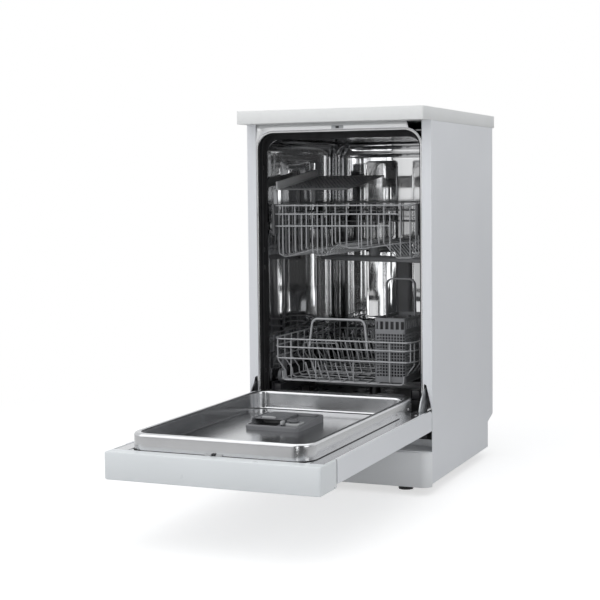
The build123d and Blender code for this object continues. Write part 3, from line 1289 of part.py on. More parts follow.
# Door catch inside the fascia
with BuildPart() as door_latch:
    latch = (LATCH_X - LATCH_WIDTH / 2, LATCH_X + LATCH_WIDTH / 2)
    block(latch, (-STRIP_BACK - 25, -STRIP_BACK - 1), (pocket_top + MOULDING + 1, DOOR_TOP - MOULDING))
    block(catch, catch_depths, (DOOR_TOP - 14, DOOR_TOP - MOULDING), Mode.SUBTRACT)
keep(door_latch, "door_latch")

# Hinge arms: sector plates under the liner's edge, turning on the brackets' pins
with BuildPart() as hinge_arm_right:
    under_liner = FACE_TOP - SHEET
    arm_foot = PIVOT_HEIGHT - 10
    heel = (PIVOT_DEPTH - 30, FACE_TOP + 2)
    tip = (PIVOT_DEPTH + 22, ARM_TOP)
    with BuildSketch(sideways(ARM_INNER)):
        with BuildLine():
            Line((PIVOT_DEPTH - 30, under_liner), heel)
            ThreePointArc(heel, (PIVOT_DEPTH - 13, ARM_TOP - 22), tip)
            Polyline(
                tip,
                (PIVOT_DEPTH + 31, ARM_TOP - 10),
                (PIVOT_DEPTH + 29, FACE_TOP),
                (PIVOT_DEPTH + 9, arm_foot),
                (-ARM_FRONT, arm_foot),
                (-ARM_FRONT, under_liner),
                (PIVOT_DEPTH - 30, under_liner),
            )
        make_face()
        with Locations((PIVOT_DEPTH, PIVOT_HEIGHT)):
            Circle(PIN_RADIUS + RUNNING_GAP, mode=Mode.SUBTRACT)
    extrude(amount=ARM_THICKNESS)
keep(hinge_arm_right, "hinge_arm_right")

with BuildPart() as hinge_arm_left:
    mirror(hinge_arm_right.part, about=Plane.YZ)
keep(hinge_arm_left, "hinge_arm_left")

# Dispenser on the pan's floor: cup, rails of the sliding lid, catch and rinse-aid filler
with BuildPart() as dispenser_body:
    depths = (-DISPENSER_FRONT, -DISPENSER_BACK)
    block((DISPENSER_LEFT, DISPENSER_RIGHT), depths, (RECESS_FLOOR, DISPENSER_TOP))
    fillet(dispenser_body.edges().filter_by(Axis.Z), 6)
    cup = (LID_LEFT + 3, LID_RIGHT - 3)
    block(cup, (-DISPENSER_FRONT + 6, -LID_FRONT + 36), (RECESS_FLOOR + 2, DISPENSER_TOP), Mode.SUBTRACT)
    for x in (LID_LEFT - RUNNING_GAP - LID_RAIL, LID_RIGHT + RUNNING_GAP):
        block((x, x + LID_RAIL), (-DISPENSER_FRONT + 4, -LID_BACK + 2), (DISPENSER_TOP, DISPENSER_TOP + 4))
    with BuildSketch(level(DISPENSER_TOP)):
        with Locations((CAP_X, -CAP_DEPTH)):
            Circle(CAP_PLUG + RUNNING_GAP)
        with Locations((CATCH_X, -CATCH_DEPTH)):
            Rectangle(CATCH_WIDTH + 2 * RUNNING_GAP, CATCH_LENGTH + 2 * RUNNING_GAP)
    extrude(amount=-9, mode=Mode.SUBTRACT)
keep(dispenser_body, "dispenser_body")

with BuildPart() as dispenser_lid:
    lid_face = LID_FOOT + 2.2
    block((LID_LEFT, LID_RIGHT), (-LID_FRONT, -LID_BACK), (LID_FOOT, lid_face))
    block((LID_LEFT + 18, LID_RIGHT - 18), (-LID_FRONT, -LID_FRONT + 4), (lid_face, lid_face + 1.8))
keep(dispenser_lid, "dispenser_lid")

with BuildPart() as lid_catch:
    with BuildSketch(level(DISPENSER_TOP - 5)):
        with Locations((CATCH_X, -CATCH_DEPTH)):
            Rectangle(CATCH_WIDTH, CATCH_LENGTH)
    extrude(amount=8)
keep(lid_catch, "lid_catch")

with BuildPart() as rinse_aid_cap:
    with BuildSketch(level(LID_FOOT)):
        with Locations((CAP_X, -CAP_DEPTH)):
            Circle(CAP_RADIUS)
    extrude(amount=2.5)
    with BuildSketch(level(LID_FOOT)):
        with Locations((CAP_X, -CAP_DEPTH)):
            Circle(CAP_PLUG)
    extrude(amount=-8)
    block((CAP_X - 9, CAP_X + 9), (-CAP_DEPTH - 1.2, -CAP_DEPTH + 1.2), (LID_FOOT + 2, LID_FOOT + 4))
keep(rinse_aid_cap, "rinse_aid_cap")
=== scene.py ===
import math

import bmesh
import bpy
from mathutils import Matrix, Vector


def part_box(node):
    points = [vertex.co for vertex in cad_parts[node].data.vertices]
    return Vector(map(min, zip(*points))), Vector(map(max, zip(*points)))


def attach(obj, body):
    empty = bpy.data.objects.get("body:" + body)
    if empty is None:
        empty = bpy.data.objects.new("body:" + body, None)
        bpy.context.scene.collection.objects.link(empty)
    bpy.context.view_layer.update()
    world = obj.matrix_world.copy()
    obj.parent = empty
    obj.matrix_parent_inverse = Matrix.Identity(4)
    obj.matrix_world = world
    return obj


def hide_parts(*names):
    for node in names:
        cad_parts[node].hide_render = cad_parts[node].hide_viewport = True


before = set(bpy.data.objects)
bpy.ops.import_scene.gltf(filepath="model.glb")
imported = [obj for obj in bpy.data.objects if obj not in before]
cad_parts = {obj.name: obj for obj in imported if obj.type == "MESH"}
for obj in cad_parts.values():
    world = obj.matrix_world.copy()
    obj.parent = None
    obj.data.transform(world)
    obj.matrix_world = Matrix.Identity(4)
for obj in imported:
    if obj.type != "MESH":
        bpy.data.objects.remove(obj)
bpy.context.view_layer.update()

# Slimline dishwasher, door open and both baskets in. Sizes are in millimetres: x across, depth back
# from the worktop's front edge, and height above the floor. place() turns them into metres.
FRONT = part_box("worktop")[0].y * 1000


def place(point):
    """A point given as x, depth and height, in metres in the frame."""
    return Vector((point[0] / 1000, (FRONT + point[1]) / 1000, point[2] / 1000))


def node(tree, kind, sockets=None, **settings):
    """A new node with its settings, its sockets joined to outputs or given values."""
    made = tree.nodes.new(kind)
    for name, value in settings.items():
        setattr(made, name, value)
    for key, value in (sockets or {}).items():
        if isinstance(value, bpy.types.NodeSocket):
            tree.links.new(value, made.inputs[key])
        else:
            made.inputs[key].default_value = value
    return made


def empty_tree(owner):
    """The node tree of a material or a world, with nothing in it."""
    owner.use_nodes = True
    owner.node_tree.nodes.clear()
    return owner.node_tree


# Materials


class Finish:
    """A material in the making: a surface shader and the patterns that drive it."""

    def __init__(self, name, colour, roughness, metallic=0.0):
        self.material = bpy.data.materials.new(name)
        self.tree = empty_tree(self.material)
        self.surface = self.add("ShaderNodeBsdfPrincipled", {
            "Base Color": (*colour, 1), "Roughness": roughness, "Metallic": metallic})
        self.add("ShaderNodeOutputMaterial", {"Surface": self.surface.outputs["BSDF"]})
        self.coordinates = self.add("ShaderNodeTexCoord").outputs["Object"]
        self.colour = colour
        self.relief = {}

    def add(self, kind, sockets=None):
        return node(self.tree, kind, sockets)

    def drive(self, socket, output):
        """Join an output to one of the shader's inputs."""
        self.tree.links.new(output, self.surface.inputs[socket])
        return self

    def set(self, **values):
        """Give values to more of the shader's inputs."""
        for name, value in values.items():
            self.surface.inputs[name.replace("_", " ")].default_value = value
        return self

    def pattern(self, kind, output, stretch, sockets):
        """A texture over the object, drawn out along the axes that have small numbers."""
        mapping = self.add("ShaderNodeMapping", {"Scale": stretch, "Vector": self.coordinates})
        return self.add(kind, {"Vector": mapping.outputs["Vector"], **sockets}).outputs[output]

    def noise(self, scale, stretch=(1, 1, 1), detail=3.0):
        return self.pattern("ShaderNodeTexNoise", "Fac", stretch, {"Scale": scale, "Detail": detail})

    def crystals(self, scale):
        return self.pattern("ShaderNodeTexVoronoi", "Color", (1, 1, 1), {"Scale": scale})

    def rough(self, pattern, low, high, start=0.3, end=0.7):
        """Roughness between two values, by a pattern."""
        fit = self.add("ShaderNodeMapRange", {
            "Value": pattern, "From Min": start, "From Max": end, "To Min": low, "To Max": high})
        return self.drive("Roughness", fit.outputs["Result"])

    def tint(self, pattern, darker, lighter, start=0.3, end=0.7):
        """The colour between a darker and a lighter share of itself."""
        ramp = self.add("ShaderNodeValToRGB", {"Fac": pattern})
        for stop, position, share in zip(ramp.color_ramp.elements, (start, end), (darker, lighter)):
            stop.position = position
            stop.color = (*[min(c * share, 1) for c in self.colour], 1)
        return self.drive("Base Color", ramp.outputs["Color"])

    def bump(self, pattern, strength, distance):
        """Relief from a pattern, on top of the relief that is already there."""
        bump = self.add("ShaderNodeBump", {
            "Strength": strength, "Distance": distance, "Height": pattern, **self.relief})
        self.relief = {"Normal": bump.outputs["Normal"]}
        return self.drive("Normal", bump.outputs["Normal"])


def enamelled_steel():
    """Smooth white enamel with a faint orange peel and a few dull handling marks."""
    f = Finish("enamelled_steel", (0.76, 0.772, 0.80), 0.34)
    f.tint(f.noise(3.5, detail=1), 0.985, 1.01)
    f.rough(f.noise(9, detail=2), 0.30, 0.38)
    return f.bump(f.noise(240, detail=1), 0.02, 0.0003).material


def laminate():
    """Satin white board with a very fine pressed grain."""
    f = Finish("laminate", (0.80, 0.805, 0.80), 0.4)
    f.tint(f.noise(60, (1, 6, 1), 4), 0.985, 1.01)
    f.rough(f.noise(14), 0.34, 0.46)
    return f.bump(f.noise(900), 0.12, 0.0003).material


def moulded(name, colour, roughness, grain=650, wear=0.04, relief=0.12):
    """Moulded plastic: fine spark grain, slow changes of tone, slightly polished patches."""
    f = Finish(name, colour, roughness)
    f.tint(f.noise(11, detail=4), 1 - wear, 1 + wear)
    f.rough(f.noise(26), roughness - 0.06, roughness + 0.07)
    return f.bump(f.noise(grain), relief, 0.0003).material


def tub_steel():
    """Polished sheet: vertical rolling streaks, slow waves in the sheet, faint water marks."""
    f = Finish("tub_steel", (0.56, 0.564, 0.57), 0.06, 1.0)
    f.tint(f.noise(30, (1, 1, 0.04), 2), 0.88, 1.06)
    f.rough(f.noise(60, (1, 1, 0.03), 2), 0.03, 0.1)
    f.bump(f.noise(9, (1, 1, 0.1), 1), 0.3, 0.003)
    f.bump(f.noise(38, (1, 1, 0.015), 1), 0.45, 0.0008)
    return f.bump(f.noise(110, (1, 1, 0.006), 1), 0.35, 0.0003).material


def pan_steel():
    """Satin sheet of the inner door, with grain along the door and soft scuffs."""
    f = Finish("pan_steel", (0.58, 0.585, 0.595), 0.2, 1.0)
    f.tint(f.noise(26, (1, 0.08, 1), 2), 0.97, 1.02)
    f.rough(f.noise(14, (1, 0.3, 1), 2), 0.17, 0.23)
    return f.bump(f.noise(4, detail=1), 0.12, 0.002).material


def shade_darkened_steel():
    """Sheet of the tub's floor, its colour darkened as painted shade for the little light that falls there.
    """
    f = Finish("shade_darkened_steel", (0.13, 0.131, 0.134), 0.3, 1.0)
    f.tint(f.noise(12, detail=3), 0.8, 1.15)
    return f.rough(f.noise(20, detail=3), 0.24, 0.4).material


def brushed_frame():
    """Bright brushed sheet of the tub's front frame, with level grain."""
    f = Finish("brushed_frame", (0.86, 0.865, 0.87), 0.38, 0.75)
    f.tint(f.noise(30, (0.1, 1, 1), 2), 0.97, 1.02)
    return f.rough(f.noise(40, (0.05, 1, 1), 2), 0.34, 0.44).material


def galvanised():
    """Dull zinc with crystal spangle and a little white bloom."""
    f = Finish("galvanised", (0.46, 0.475, 0.49), 0.42, 0.85)
    f.tint(f.crystals(160), 0.82, 1.12, 0.2, 0.8)
    f.rough(f.crystals(160), 0.34, 0.52, 0.2, 0.8)
    return f.bump(f.noise(300), 0.08, 0.0003).material


def black_rubber():
    """Soft rubber: matt, with a dusty bloom and fine pits."""
    f = Finish("black_rubber", (0.011, 0.011, 0.012), 0.62)
    f.tint(f.noise(35, detail=5), 0.75, 1.5)
    f.rough(f.noise(80), 0.52, 0.72)
    f.set(Specular_IOR_Level=0.25)
    return f.bump(f.noise(520), 0.2, 0.0004).material


def coated_wire():
    """Grey nylon coat on wire: smooth, slightly mottled, softly shining."""
    f = Finish("coated_wire", (0.37, 0.375, 0.385), 0.34)
    f.tint(f.noise(60, detail=3), 0.9, 1.1)
    f.rough(f.noise(240), 0.28, 0.4)
    return f.set(Coat_Weight=0.2, Coat_Roughness=0.2).material


def drawn_metal():
    """Aluminium and plated steel of the pumps, turned and lightly oxidised."""
    f = Finish("drawn_metal", (0.48, 0.48, 0.49), 0.36, 0.9)
    f.tint(f.noise(50, (0.05, 1, 1), 3), 0.88, 1.06)
    f.rough(f.noise(20), 0.3, 0.46)
    return f.bump(f.noise(380, (0.04, 1, 1)), 0.08, 0.0003).material


def felt():
    """Pressed grey felt: mixed fibres and a soft raised nap."""
    f = Finish("felt", (0.075, 0.075, 0.08), 0.95)
    f.tint(f.noise(420, detail=6), 0.55, 1.9)
    f.bump(f.noise(600, detail=6), 0.7, 0.002)
    return f.set(Sheen_Weight=0.5).material


def dark_window():
    """Smoked window over the display: glossy, with faint wiping marks."""
    f = Finish("dark_window", (0.012, 0.013, 0.016), 0.08)
    f.rough(f.noise(30, (1, 5, 1), 4), 0.05, 0.16)
    f.tint(f.noise(18), 0.8, 1.4)
    return f.set(Coat_Weight=0.6, Coat_Roughness=0.04).material


ENAMEL = enamelled_steel()
LAMINATE = laminate()
FASCIA = moulded("fascia_moulding", (0.74, 0.765, 0.78), 0.33, 900, 0.012, 0.05)
# Painted light: the plinth's white is lighter than the other whites, to make up for the shade it lies in
# under the open door.
SKIRT = moulded("plinth_moulding", (0.86, 0.87, 0.88), 0.42, 700, 0.02, 0.1)
TUB_STEEL = tub_steel()
PAN_STEEL = pan_steel()
FRAME_STEEL = brushed_frame()
ZINC = galvanised()
RUBBER = black_rubber()
# Steel darkened as painted shade, for the tub floor and the parts that lie in shade.
SHADE_STEEL = shade_darkened_steel()
BLACK = moulded("black_moulding", (0.024, 0.024, 0.027), 0.4, wear=0.15)
WIRE_COAT = coated_wire()
TRAY_GREY = moulded("dispenser_moulding", (0.15, 0.152, 0.16), 0.36, wear=0.05)
MID_GREY = moulded("mid_grey_moulding", (0.20, 0.203, 0.212), 0.38, wear=0.06)
DARK_GREY = moulded("dark_grey_moulding", (0.10, 0.101, 0.105), 0.4, wear=0.08)
LIGHT_GREY = moulded("light_grey_moulding", (0.42, 0.425, 0.43), 0.36)
BASE_MOULDING = moulded("base_moulding", (0.05, 0.053, 0.056), 0.5, 420, 0.12, 0.2)
METAL = drawn_metal()
FELT = felt()
WINDOW = dark_window()

# Making pieces


def finish_piece(piece, body, slot, *replaces):
    """Tie a finished piece to its body and hide the nodes that it stands for. The slot is not used."""
    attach(piece, body)
    if replaces:
        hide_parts(*replaces)


def new_object(name, data):
    """A new object in the scene, at the origin."""
    made = bpy.data.objects.new(name, data)
    bpy.context.scene.collection.objects.link(made)
    return made


def shade(mesh, sharp=35):
    """Smooth shading, with edges sharp from an angle in degrees."""
    mesh.shade_smooth()
    mesh.set_sharp_from_angle(angle=math.radians(sharp))


def mesh_object(name, points, faces, material=None, sharp=35, edges=()):
    """An object at the origin from points in millimetres, shaded smooth up to an angle."""
    mesh = bpy.data.meshes.new(name)
    mesh.from_pydata([place(p) for p in points], edges, faces)
    mesh.validate()
    if material:
        mesh.materials.append(material)
    if faces:
        shade(mesh, sharp)
    return new_object(name, mesh)


def quads(rows, columns, closed=False, keep=lambda i, j: True, looped=False):
    """Faces between rows of equally many points, without the cells that keep() turns down."""
    faces = []
    for i in range(rows if looped else rows - 1):
        this, following = i * columns, (i + 1) % rows * columns
        for j in range(columns if closed else columns - 1):
            k = (j + 1) % columns
            if keep(i, j):
                faces.append((this + j, this + k, following + k, following + j))
    return faces


def sheet(name, rings, material, sharp=35, keep=lambda i, j: True, closed=False):
    """An open skin over rings that have equally many points."""
    points = [p for ring in rings for p in ring]
    return mesh_object(name, points, quads(len(rings), len(rings[0]), closed, keep), material, sharp)


def solid(name, rings, material, sharp=35, caps=(True, True), looped=False):
    """A closed skin over rings: capped at the first and the last one, or led back to the first."""
    count = len(rings[0])
    faces = quads(len(rings), count, True, looped=looped)
    if caps[0]:
        faces.append(tuple(range(count - 1, -1, -1)))
    if caps[1]:
        faces.append(tuple(range((len(rings) - 1) * count, len(rings) * count)))
    return turned_outwards(mesh_object(name, [p for ring in rings for p in ring], faces, material, sharp))


def turned_outwards(piece):
    """The piece with its doubles merged and the faces of its closed shape pointing outwards."""
    shape = bmesh.new()
    shape.from_mesh(piece.data)
    bmesh.ops.remove_doubles(shape, verts=shape.verts, dist=0.00001)
    bmesh.ops.recalc_face_normals(shape, faces=shape.faces)
    shape.to_mesh(piece.data)
    shape.free()
    return piece


def rounded_ring(xs, depths, height, radius, steps=8, inset=0):
    """A level rounded rectangle as a ring of points, drawn in by an inset."""
    x0, x1 = xs[0] + inset, xs[1] - inset
    d0, d1 = depths[0] + inset, depths[1] - inset
    ring = []
    for cx, cd, start in ((x1 - radius, d1 - radius, 0), (x0 + radius, d1 - radius, 90),
                          (x0 + radius, d0 + radius, 180), (x1 - radius, d0 + radius, 270)):
        for i in range(steps + 1):
            angle = math.radians(start + 90 * i / steps)
            ring.append((cx + radius * math.cos(angle), cd + radius * math.sin(angle), height))
    return ring


def slab(name, xs, depths, heights, radius, edge, material, steps=6):
    """A rounded block with eased upper and lower edges, its flat ends held flat by an inner ring."""
    room = min(xs[1] - xs[0], depths[1] - depths[0]) / 2 - edge
    profile = [(edge + min(0.6, room / 2), 0), (edge, 0), (edge * 0.3, edge * 0.3), (0, edge)]
    levels = [(inset, heights[0] + rise) for inset, rise in profile]
    levels += [(inset, heights[1] - rise) for inset, rise in reversed(profile)]
    return solid(name, [rounded_ring(xs, depths, z, max(radius - inset, 0.2), steps, inset)
                        for inset, z in levels], material)


def slabs(name, boxes, radius, edge, material, steps=6):
    """Rounded blocks of one kind, each from its extents across, in depth and in height."""
    return [slab(f"{name}_{i}", *box, radius, edge, material, steps) for i, box in enumerate(boxes)]


def lathe(name, profile, centre, axis, material, steps=40):
    """A piece turned about x or z: the profile gives distance along the axis and radius."""
    rings = []
    for along, radius in profile:
        ring = []
        for i in range(steps):
            a = 2 * math.pi * i / steps
            u, v = radius * math.cos(a), radius * math.sin(a)
            offset = (along, u, v) if axis == "x" else (u, v, along)
            ring.append(tuple(c + o for c, o in zip(centre, offset)))
        rings.append(ring)
    looped = profile[0] == profile[-1]
    if looped:
        rings.pop()
    return solid(name, rings, material, 30, (not looped, not looped), looped)


def joined(name, pieces, material=None):
    """One object from several, which are used up."""
    shape = bmesh.new()
    for piece in pieces:
        shape.from_mesh(piece.data)
    mesh = bpy.data.meshes.new(name)
    shape.to_mesh(mesh)
    shape.free()
    mesh.materials.append(material or pieces[0].data.materials[0])
    for piece in pieces:
        bpy.data.objects.remove(piece)
    return new_object(name, mesh)


def evaluated(piece):
    """A plain object from a piece with its modifiers applied."""
    name = piece.name
    graph = bpy.context.evaluated_depsgraph_get()
    mesh = bpy.data.meshes.new_from_object(piece.evaluated_get(graph))
    bpy.data.objects.remove(piece)
    return new_object(name, mesh)


def thicken(piece, thickness, offset=-1.0):
    """Give a sheet its thickness in millimetres."""
    wall = piece.modifiers.new("sheet", "SOLIDIFY")
    wall.thickness = thickness / 1000
    wall.offset = offset
    return piece


def cut(piece, cutters):
    """Take the cutters' shapes out of a piece."""
    for cutter in cutters:
        tool = piece.modifiers.new("cut", "BOOLEAN")
        tool.operation = "DIFFERENCE"
        tool.solver = "EXACT"
        tool.object = cutter
    result = evaluated(piece)
    for cutter in cutters:
        bpy.data.objects.remove(cutter)
    shade(result.data, 30)
    return result


def dress(material, *names):
    """Give carried-over nodes their material."""
    for name in names:
        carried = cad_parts[name]
        for slot in carried.material_slots:
            slot.material = material
        if not carried.material_slots:
            carried.data.materials.append(material)


# Trees for wires and screws


class Tree:
    """A Geometry Nodes tree with named inputs, made node by node."""

    def __init__(self, name, **inputs):
        self.tree = bpy.data.node_groups.new(name, "GeometryNodeTree")
        sockets = self.tree.interface
        sockets.new_socket("Geometry", in_out="INPUT", socket_type="NodeSocketGeometry")
        kinds = {int: "NodeSocketInt", float: "NodeSocketFloat", tuple: "NodeSocketVector"}
        for label, value in inputs.items():
            sockets.new_socket(label, in_out="INPUT", socket_type=kinds[type(value)]).default_value = value
        sockets.new_socket("Geometry", in_out="OUTPUT", socket_type="NodeSocketGeometry")
        self.start = self.add("NodeGroupInput").outputs

    def add(self, kind, sockets=None, **settings):
        return node(self.tree, kind, sockets, **settings)

    def close(self, geometry, material):
        """End the tree: instances made real, and the material set."""
        real = self.add("GeometryNodeRealizeInstances", {"Geometry": geometry})
        coat = self.add("GeometryNodeSetMaterial", {
            "Geometry": real.outputs["Geometry"], "Material": material})
        self.add("NodeGroupOutput", {"Geometry": coat.outputs["Geometry"]})
        return self.tree


def grow(piece, tree, **values):
    """Run a tree on a piece and keep the result as a plain mesh."""
    modifier = piece.modifiers.new("grow", "NODES")
    modifier.node_group = tree
    for item in tree.interface.items_tree:
        if item.in_out == "INPUT" and item.name in values:
            modifier[item.identifier] = values[item.name]
    return evaluated(piece)


def wire_tree():
    """Coated wire on each run of points: bends rounded, ends domed."""
    tree = Tree("coated_wire", radius=0.0017, bend=0.008, sides=8)
    start = tree.start
    runs = tree.add("GeometryNodeMeshToCurve", {"Mesh": start["Geometry"]})
    bends = tree.add("GeometryNodeFilletCurve", {
        "Curve": runs.outputs["Curve"], "Count": 4, "Radius": start["bend"], "Limit Radius": True},
        mode="POLY")
    ring = tree.add("GeometryNodeCurvePrimitiveCircle", {
        "Radius": start["radius"], "Resolution": start["sides"]})
    skin = tree.add("GeometryNodeCurveToMesh", {
        "Curve": bends.outputs["Curve"], "Profile Curve": ring.outputs["Curve"], "Fill Caps": True})
    ends = tree.add("GeometryNodeCurveEndpointSelection")
    dome = tree.add("GeometryNodeMeshIcoSphere", {"Radius": start["radius"], "Subdivisions": 2})
    domes = tree.add("GeometryNodeInstanceOnPoints", {
        "Points": bends.outputs["Curve"], "Selection": ends.outputs["Selection"],
        "Instance": dome.outputs["Mesh"]})
    both = tree.add("GeometryNodeJoinGeometry", {"Geometry": skin.outputs["Mesh"]})
    tree.tree.links.new(domes.outputs["Instances"], both.inputs["Geometry"])
    return tree.close(both.outputs["Geometry"], WIRE_COAT)


def screw_tree(material):
    """A pan-head screw with a cross recess on each point, its head facing one way."""
    tree = Tree("pan_head_screw", size=0.004, facing=(0.0, 0.0, 1.0))
    size = tree.start["size"]
    head = tree.add("GeometryNodeMeshUVSphere", {"Segments": 20, "Rings": 10, "Radius": size})
    flat = tree.add("GeometryNodeTransform", {"Geometry": head.outputs["Mesh"], "Scale": (1, 1, 0.42)})
    screw = tree.add("GeometryNodeMeshBoolean", {
        "Mesh 1": flat.outputs["Geometry"], "Self Intersection": True},
        operation="DIFFERENCE", solver="EXACT")
    for across, along in ((1.05, 0.26), (0.26, 1.05)):
        bar = tree.add("GeometryNodeMeshCube", {"Size": (across, along, 0.6)})
        scale = tree.add("ShaderNodeCombineXYZ", {"X": size, "Y": size, "Z": size}).outputs["Vector"]
        lift = tree.add("ShaderNodeVectorMath", {0: scale, 1: (0, 0, 0.5)}, operation="MULTIPLY")
        put = tree.add("GeometryNodeTransform", {
            "Geometry": bar.outputs["Mesh"], "Translation": lift.outputs["Vector"], "Scale": scale})
        tree.tree.links.new(put.outputs["Geometry"], screw.inputs["Mesh 2"])
    aim = tree.add("FunctionNodeAlignEulerToVector", {"Vector": tree.start["facing"]}, axis="Z")
    each = tree.add("GeometryNodeInstanceOnPoints", {
        "Points": tree.start["Geometry"], "Instance": screw.outputs["Mesh"],
        "Rotation": aim.outputs["Rotation"]})
    return tree.close(each.outputs["Instances"], material)


WIRES = wire_tree()


def wires(name, runs, radius=1.7, bend=8.0, sides=8):
    """Coated wires along runs of points in millimetres."""
    points, edges = [], []
    for run in runs:
        edges += [(len(points) + i, len(points) + i + 1) for i in range(len(run) - 1)]
        points += run
    source = mesh_object(name, points, [], edges=edges)
    piece = grow(source, WIRES, radius=radius / 1000, bend=bend / 1000, sides=sides)
    shade(piece.data, 50)
    return piece


def screws(name, places, facing, size, material, body, slot):
    """Screws at places in millimetres, all facing one way."""
    facing = [float(part) for part in facing]
    piece = grow(mesh_object(name, places, []), screw_tree(material), size=size / 1000, facing=facing)
    finish_piece(piece, body, slot)


# Cabinet and tub

HALF_WIDTH, DEPTH, HEIGHT, UNDERSIDE = 224, 600, 866, 836
# Half width, ceiling height and corner radius of the tub's mouth, and of the tub behind it.
MOUTH, TUB = (197, 820, 38), (192, 803, 38)
TUB_FOOT, SEAL_FOOT, FRAME_FRONT = 165, 168, 58
PANEL_LOW, PANEL_HIGH = 345, 756
WALL_STOPS = (165, 200, 250, 300, 335, 343, 345, 347, 349, 351, 400, 470, 550, 630, 700,
              750, 752, 754, 756, 758)
SEAL_STOPS = (260, 400, 600)


def ease(value):
    value = min(max(value, 0), 1)
    return value * value * (3 - 2 * value)


def pressed(u, v, us, vs, radius, band, deep):
    """How far a panel with rounded corners is pressed out at (u, v)."""
    qu = abs(u - sum(us) / 2) - (us[1] - us[0]) / 2 + radius
    qv = abs(v - sum(vs) / 2) - (vs[1] - vs[0]) / 2 + radius
    inside = radius - math.hypot(max(qu, 0), max(qv, 0)) - min(max(qu, qv), 0)
    return deep * ease(inside / band)


def arch(half, top, radius, foot, stops, steps=12):
    """Points round a tub opening from the left foot to the right one, with their inward normals."""
    path = [(-half, z, 1, 0) for z in sorted({foot, *stops}) if foot <= z < top - radius]
    for i in range(steps + 1):
        a = math.radians(180 - 90 * i / steps)
        x, z = math.cos(a), math.sin(a)
        path.append((-half + radius + radius * x, top - radius + radius * z, -x, -z))
    flat = half - radius
    ceiling = [(x, top, 0, -1) for x in (-flat / 2, 0, flat / 2)]
    return path + ceiling + [(-x, z, -nx, nz) for x, z, nx, nz in reversed(path)]


def across(side, inner, outer):
    """The extent from an inner to an outer distance, on one side of the middle."""
    return sorted((side * inner, side * outer))


def worktop():
    board = slab("worktop_board", (-HALF_WIDTH, HALF_WIDTH), (0, DEPTH), (UNDERSIDE, HEIGHT), 4, 1.3,
                 LAMINATE)
    finish_piece(board, "cabinet", "worktop_white", "worktop")


def tub_walls():
    """The tub's sides and ceiling: rolled rim, wide mouth, step, and panels pressed out of the sides."""
    half, top, radius = TUB
    sections = [(57.6, 201.9, 821.4, 42.9), (57.4, 199.8, 819.2, 40.8), (57.8, 198, 817.4, 39),
                (58.8, 197.2, 816.6, 38.2), (60.5, 197.1, 817, 38.2), (62, *MOUTH), (93, *MOUTH),
                (94.4, 196, 817, 38), (95.6, 193, 806, 38), (97, *TUB)]
    sections += [(d, *TUB) for d in (110, 130, 160, 178, 180, 182, 184, 186, 230, 290, 350, 394, 396, 398,
                                     400, 402, 440, 490, 540, 541)]
    sections += [(d, half - inset, top - inset, radius - inset)
                 for d, inset in ((542.6, 0.4), (543.8, 1.3), (544.6, 2.6), (544.9, 4.4))]
    rings = []
    for depth, half, top, radius in sections:
        ring = []
        for x, z, nx, nz in arch(half, top, radius, TUB_FOOT, WALL_STOPS):
            out = 0
            if abs(nx) == 1 and depth > 100:
                panel = pressed(depth, z, (180, 400), (PANEL_LOW, PANEL_HIGH), 20, 6, 1.5)
                out = -panel - 1.2 * ease(1 - abs(z - 777) / 4)
            ring.append((x - nx * out, depth, z))
        rings.append(ring)
    walls = thicken(sheet("tub_walls", rings, TUB_STEEL, 40), 0.8, 1.0)
    finish_piece(walls, "cabinet", "stainless", "tub_wrap")


def front_frame():
    """Flat frame round the mouth, up to the side panels and the worktop, cut away at the upper right."""
    rim = arch(201.5, 821, 42.5, TUB_FOOT, WALL_STOPS)
    outer_side, corner_x, corner_z = 204, 159, 778.5
    outer = []
    for x, z, nx, nz in rim:
        cx = math.copysign(corner_x, x)
        dx, dz = x - cx, z - corner_z
        if x > 166 and z > 780:
            outer.append((x - nx * 1.5, FRAME_FRONT, z - nz * 1.5))
        elif z <= corner_z:
            outer.append((math.copysign(outer_side, x), FRAME_FRONT, z))
        elif abs(x) <= corner_x:
            outer.append((x, FRAME_FRONT, UNDERSIDE))
        else:
            reach = min((outer_side - corner_x) / max(abs(dx), 0.01),
                        (UNDERSIDE - corner_z) / max(dz, 0.01))
            outer.append((cx + dx * reach, FRAME_FRONT, corner_z + dz * reach))
    inner = [(x, FRAME_FRONT, z) for x, z, _, _ in rim]
    finish_piece(thicken(sheet("tub_front_frame", [outer, inner], FRAME_STEEL), 0.5), "cabinet", "stainless")


def tub_back():
    """Rear wall with two tall pressed panels and two ridges near the ceiling."""
    half, top, radius = TUB
    bend = top - radius
    right = [18, 20, 22, 24, 26, 60, 101, 103, 105, 107, 109, 130, 160, 192]
    xs = [-x for x in reversed(right)] + [0] + right
    rows = []
    for z in (165, 220, 280, 330, 343, 345, 347, 349, 351, 420, 500, 600, 700, 750, 752, 754, 756, 758, 765,
              767, 770, 773, 776, 782, 787, 789, 791, 793, 796, 799, 801.5, 803):
        reach = half if z <= bend else half - radius + math.sqrt(max(radius ** 2 - (z - bend) ** 2, 0))
        row = []
        for x in xs:
            back = pressed(abs(x), z, (20, 107), (PANEL_LOW, PANEL_HIGH), 10, 5, 2)
            ridges = ease(1 - abs(z - 770) / 4) + ease(1 - abs(z - 791) / 3.5)
            row.append((x * reach / half, 545 + back - 1.3 * ridges * ease((170 - abs(x)) / 12), z))
        rows.append(row)
    wall = thicken(sheet("tub_back_wall", rows, TUB_STEEL, 40), 0.8)
    finish_piece(wall, "cabinet", "stainless", "tub_rear_wall")


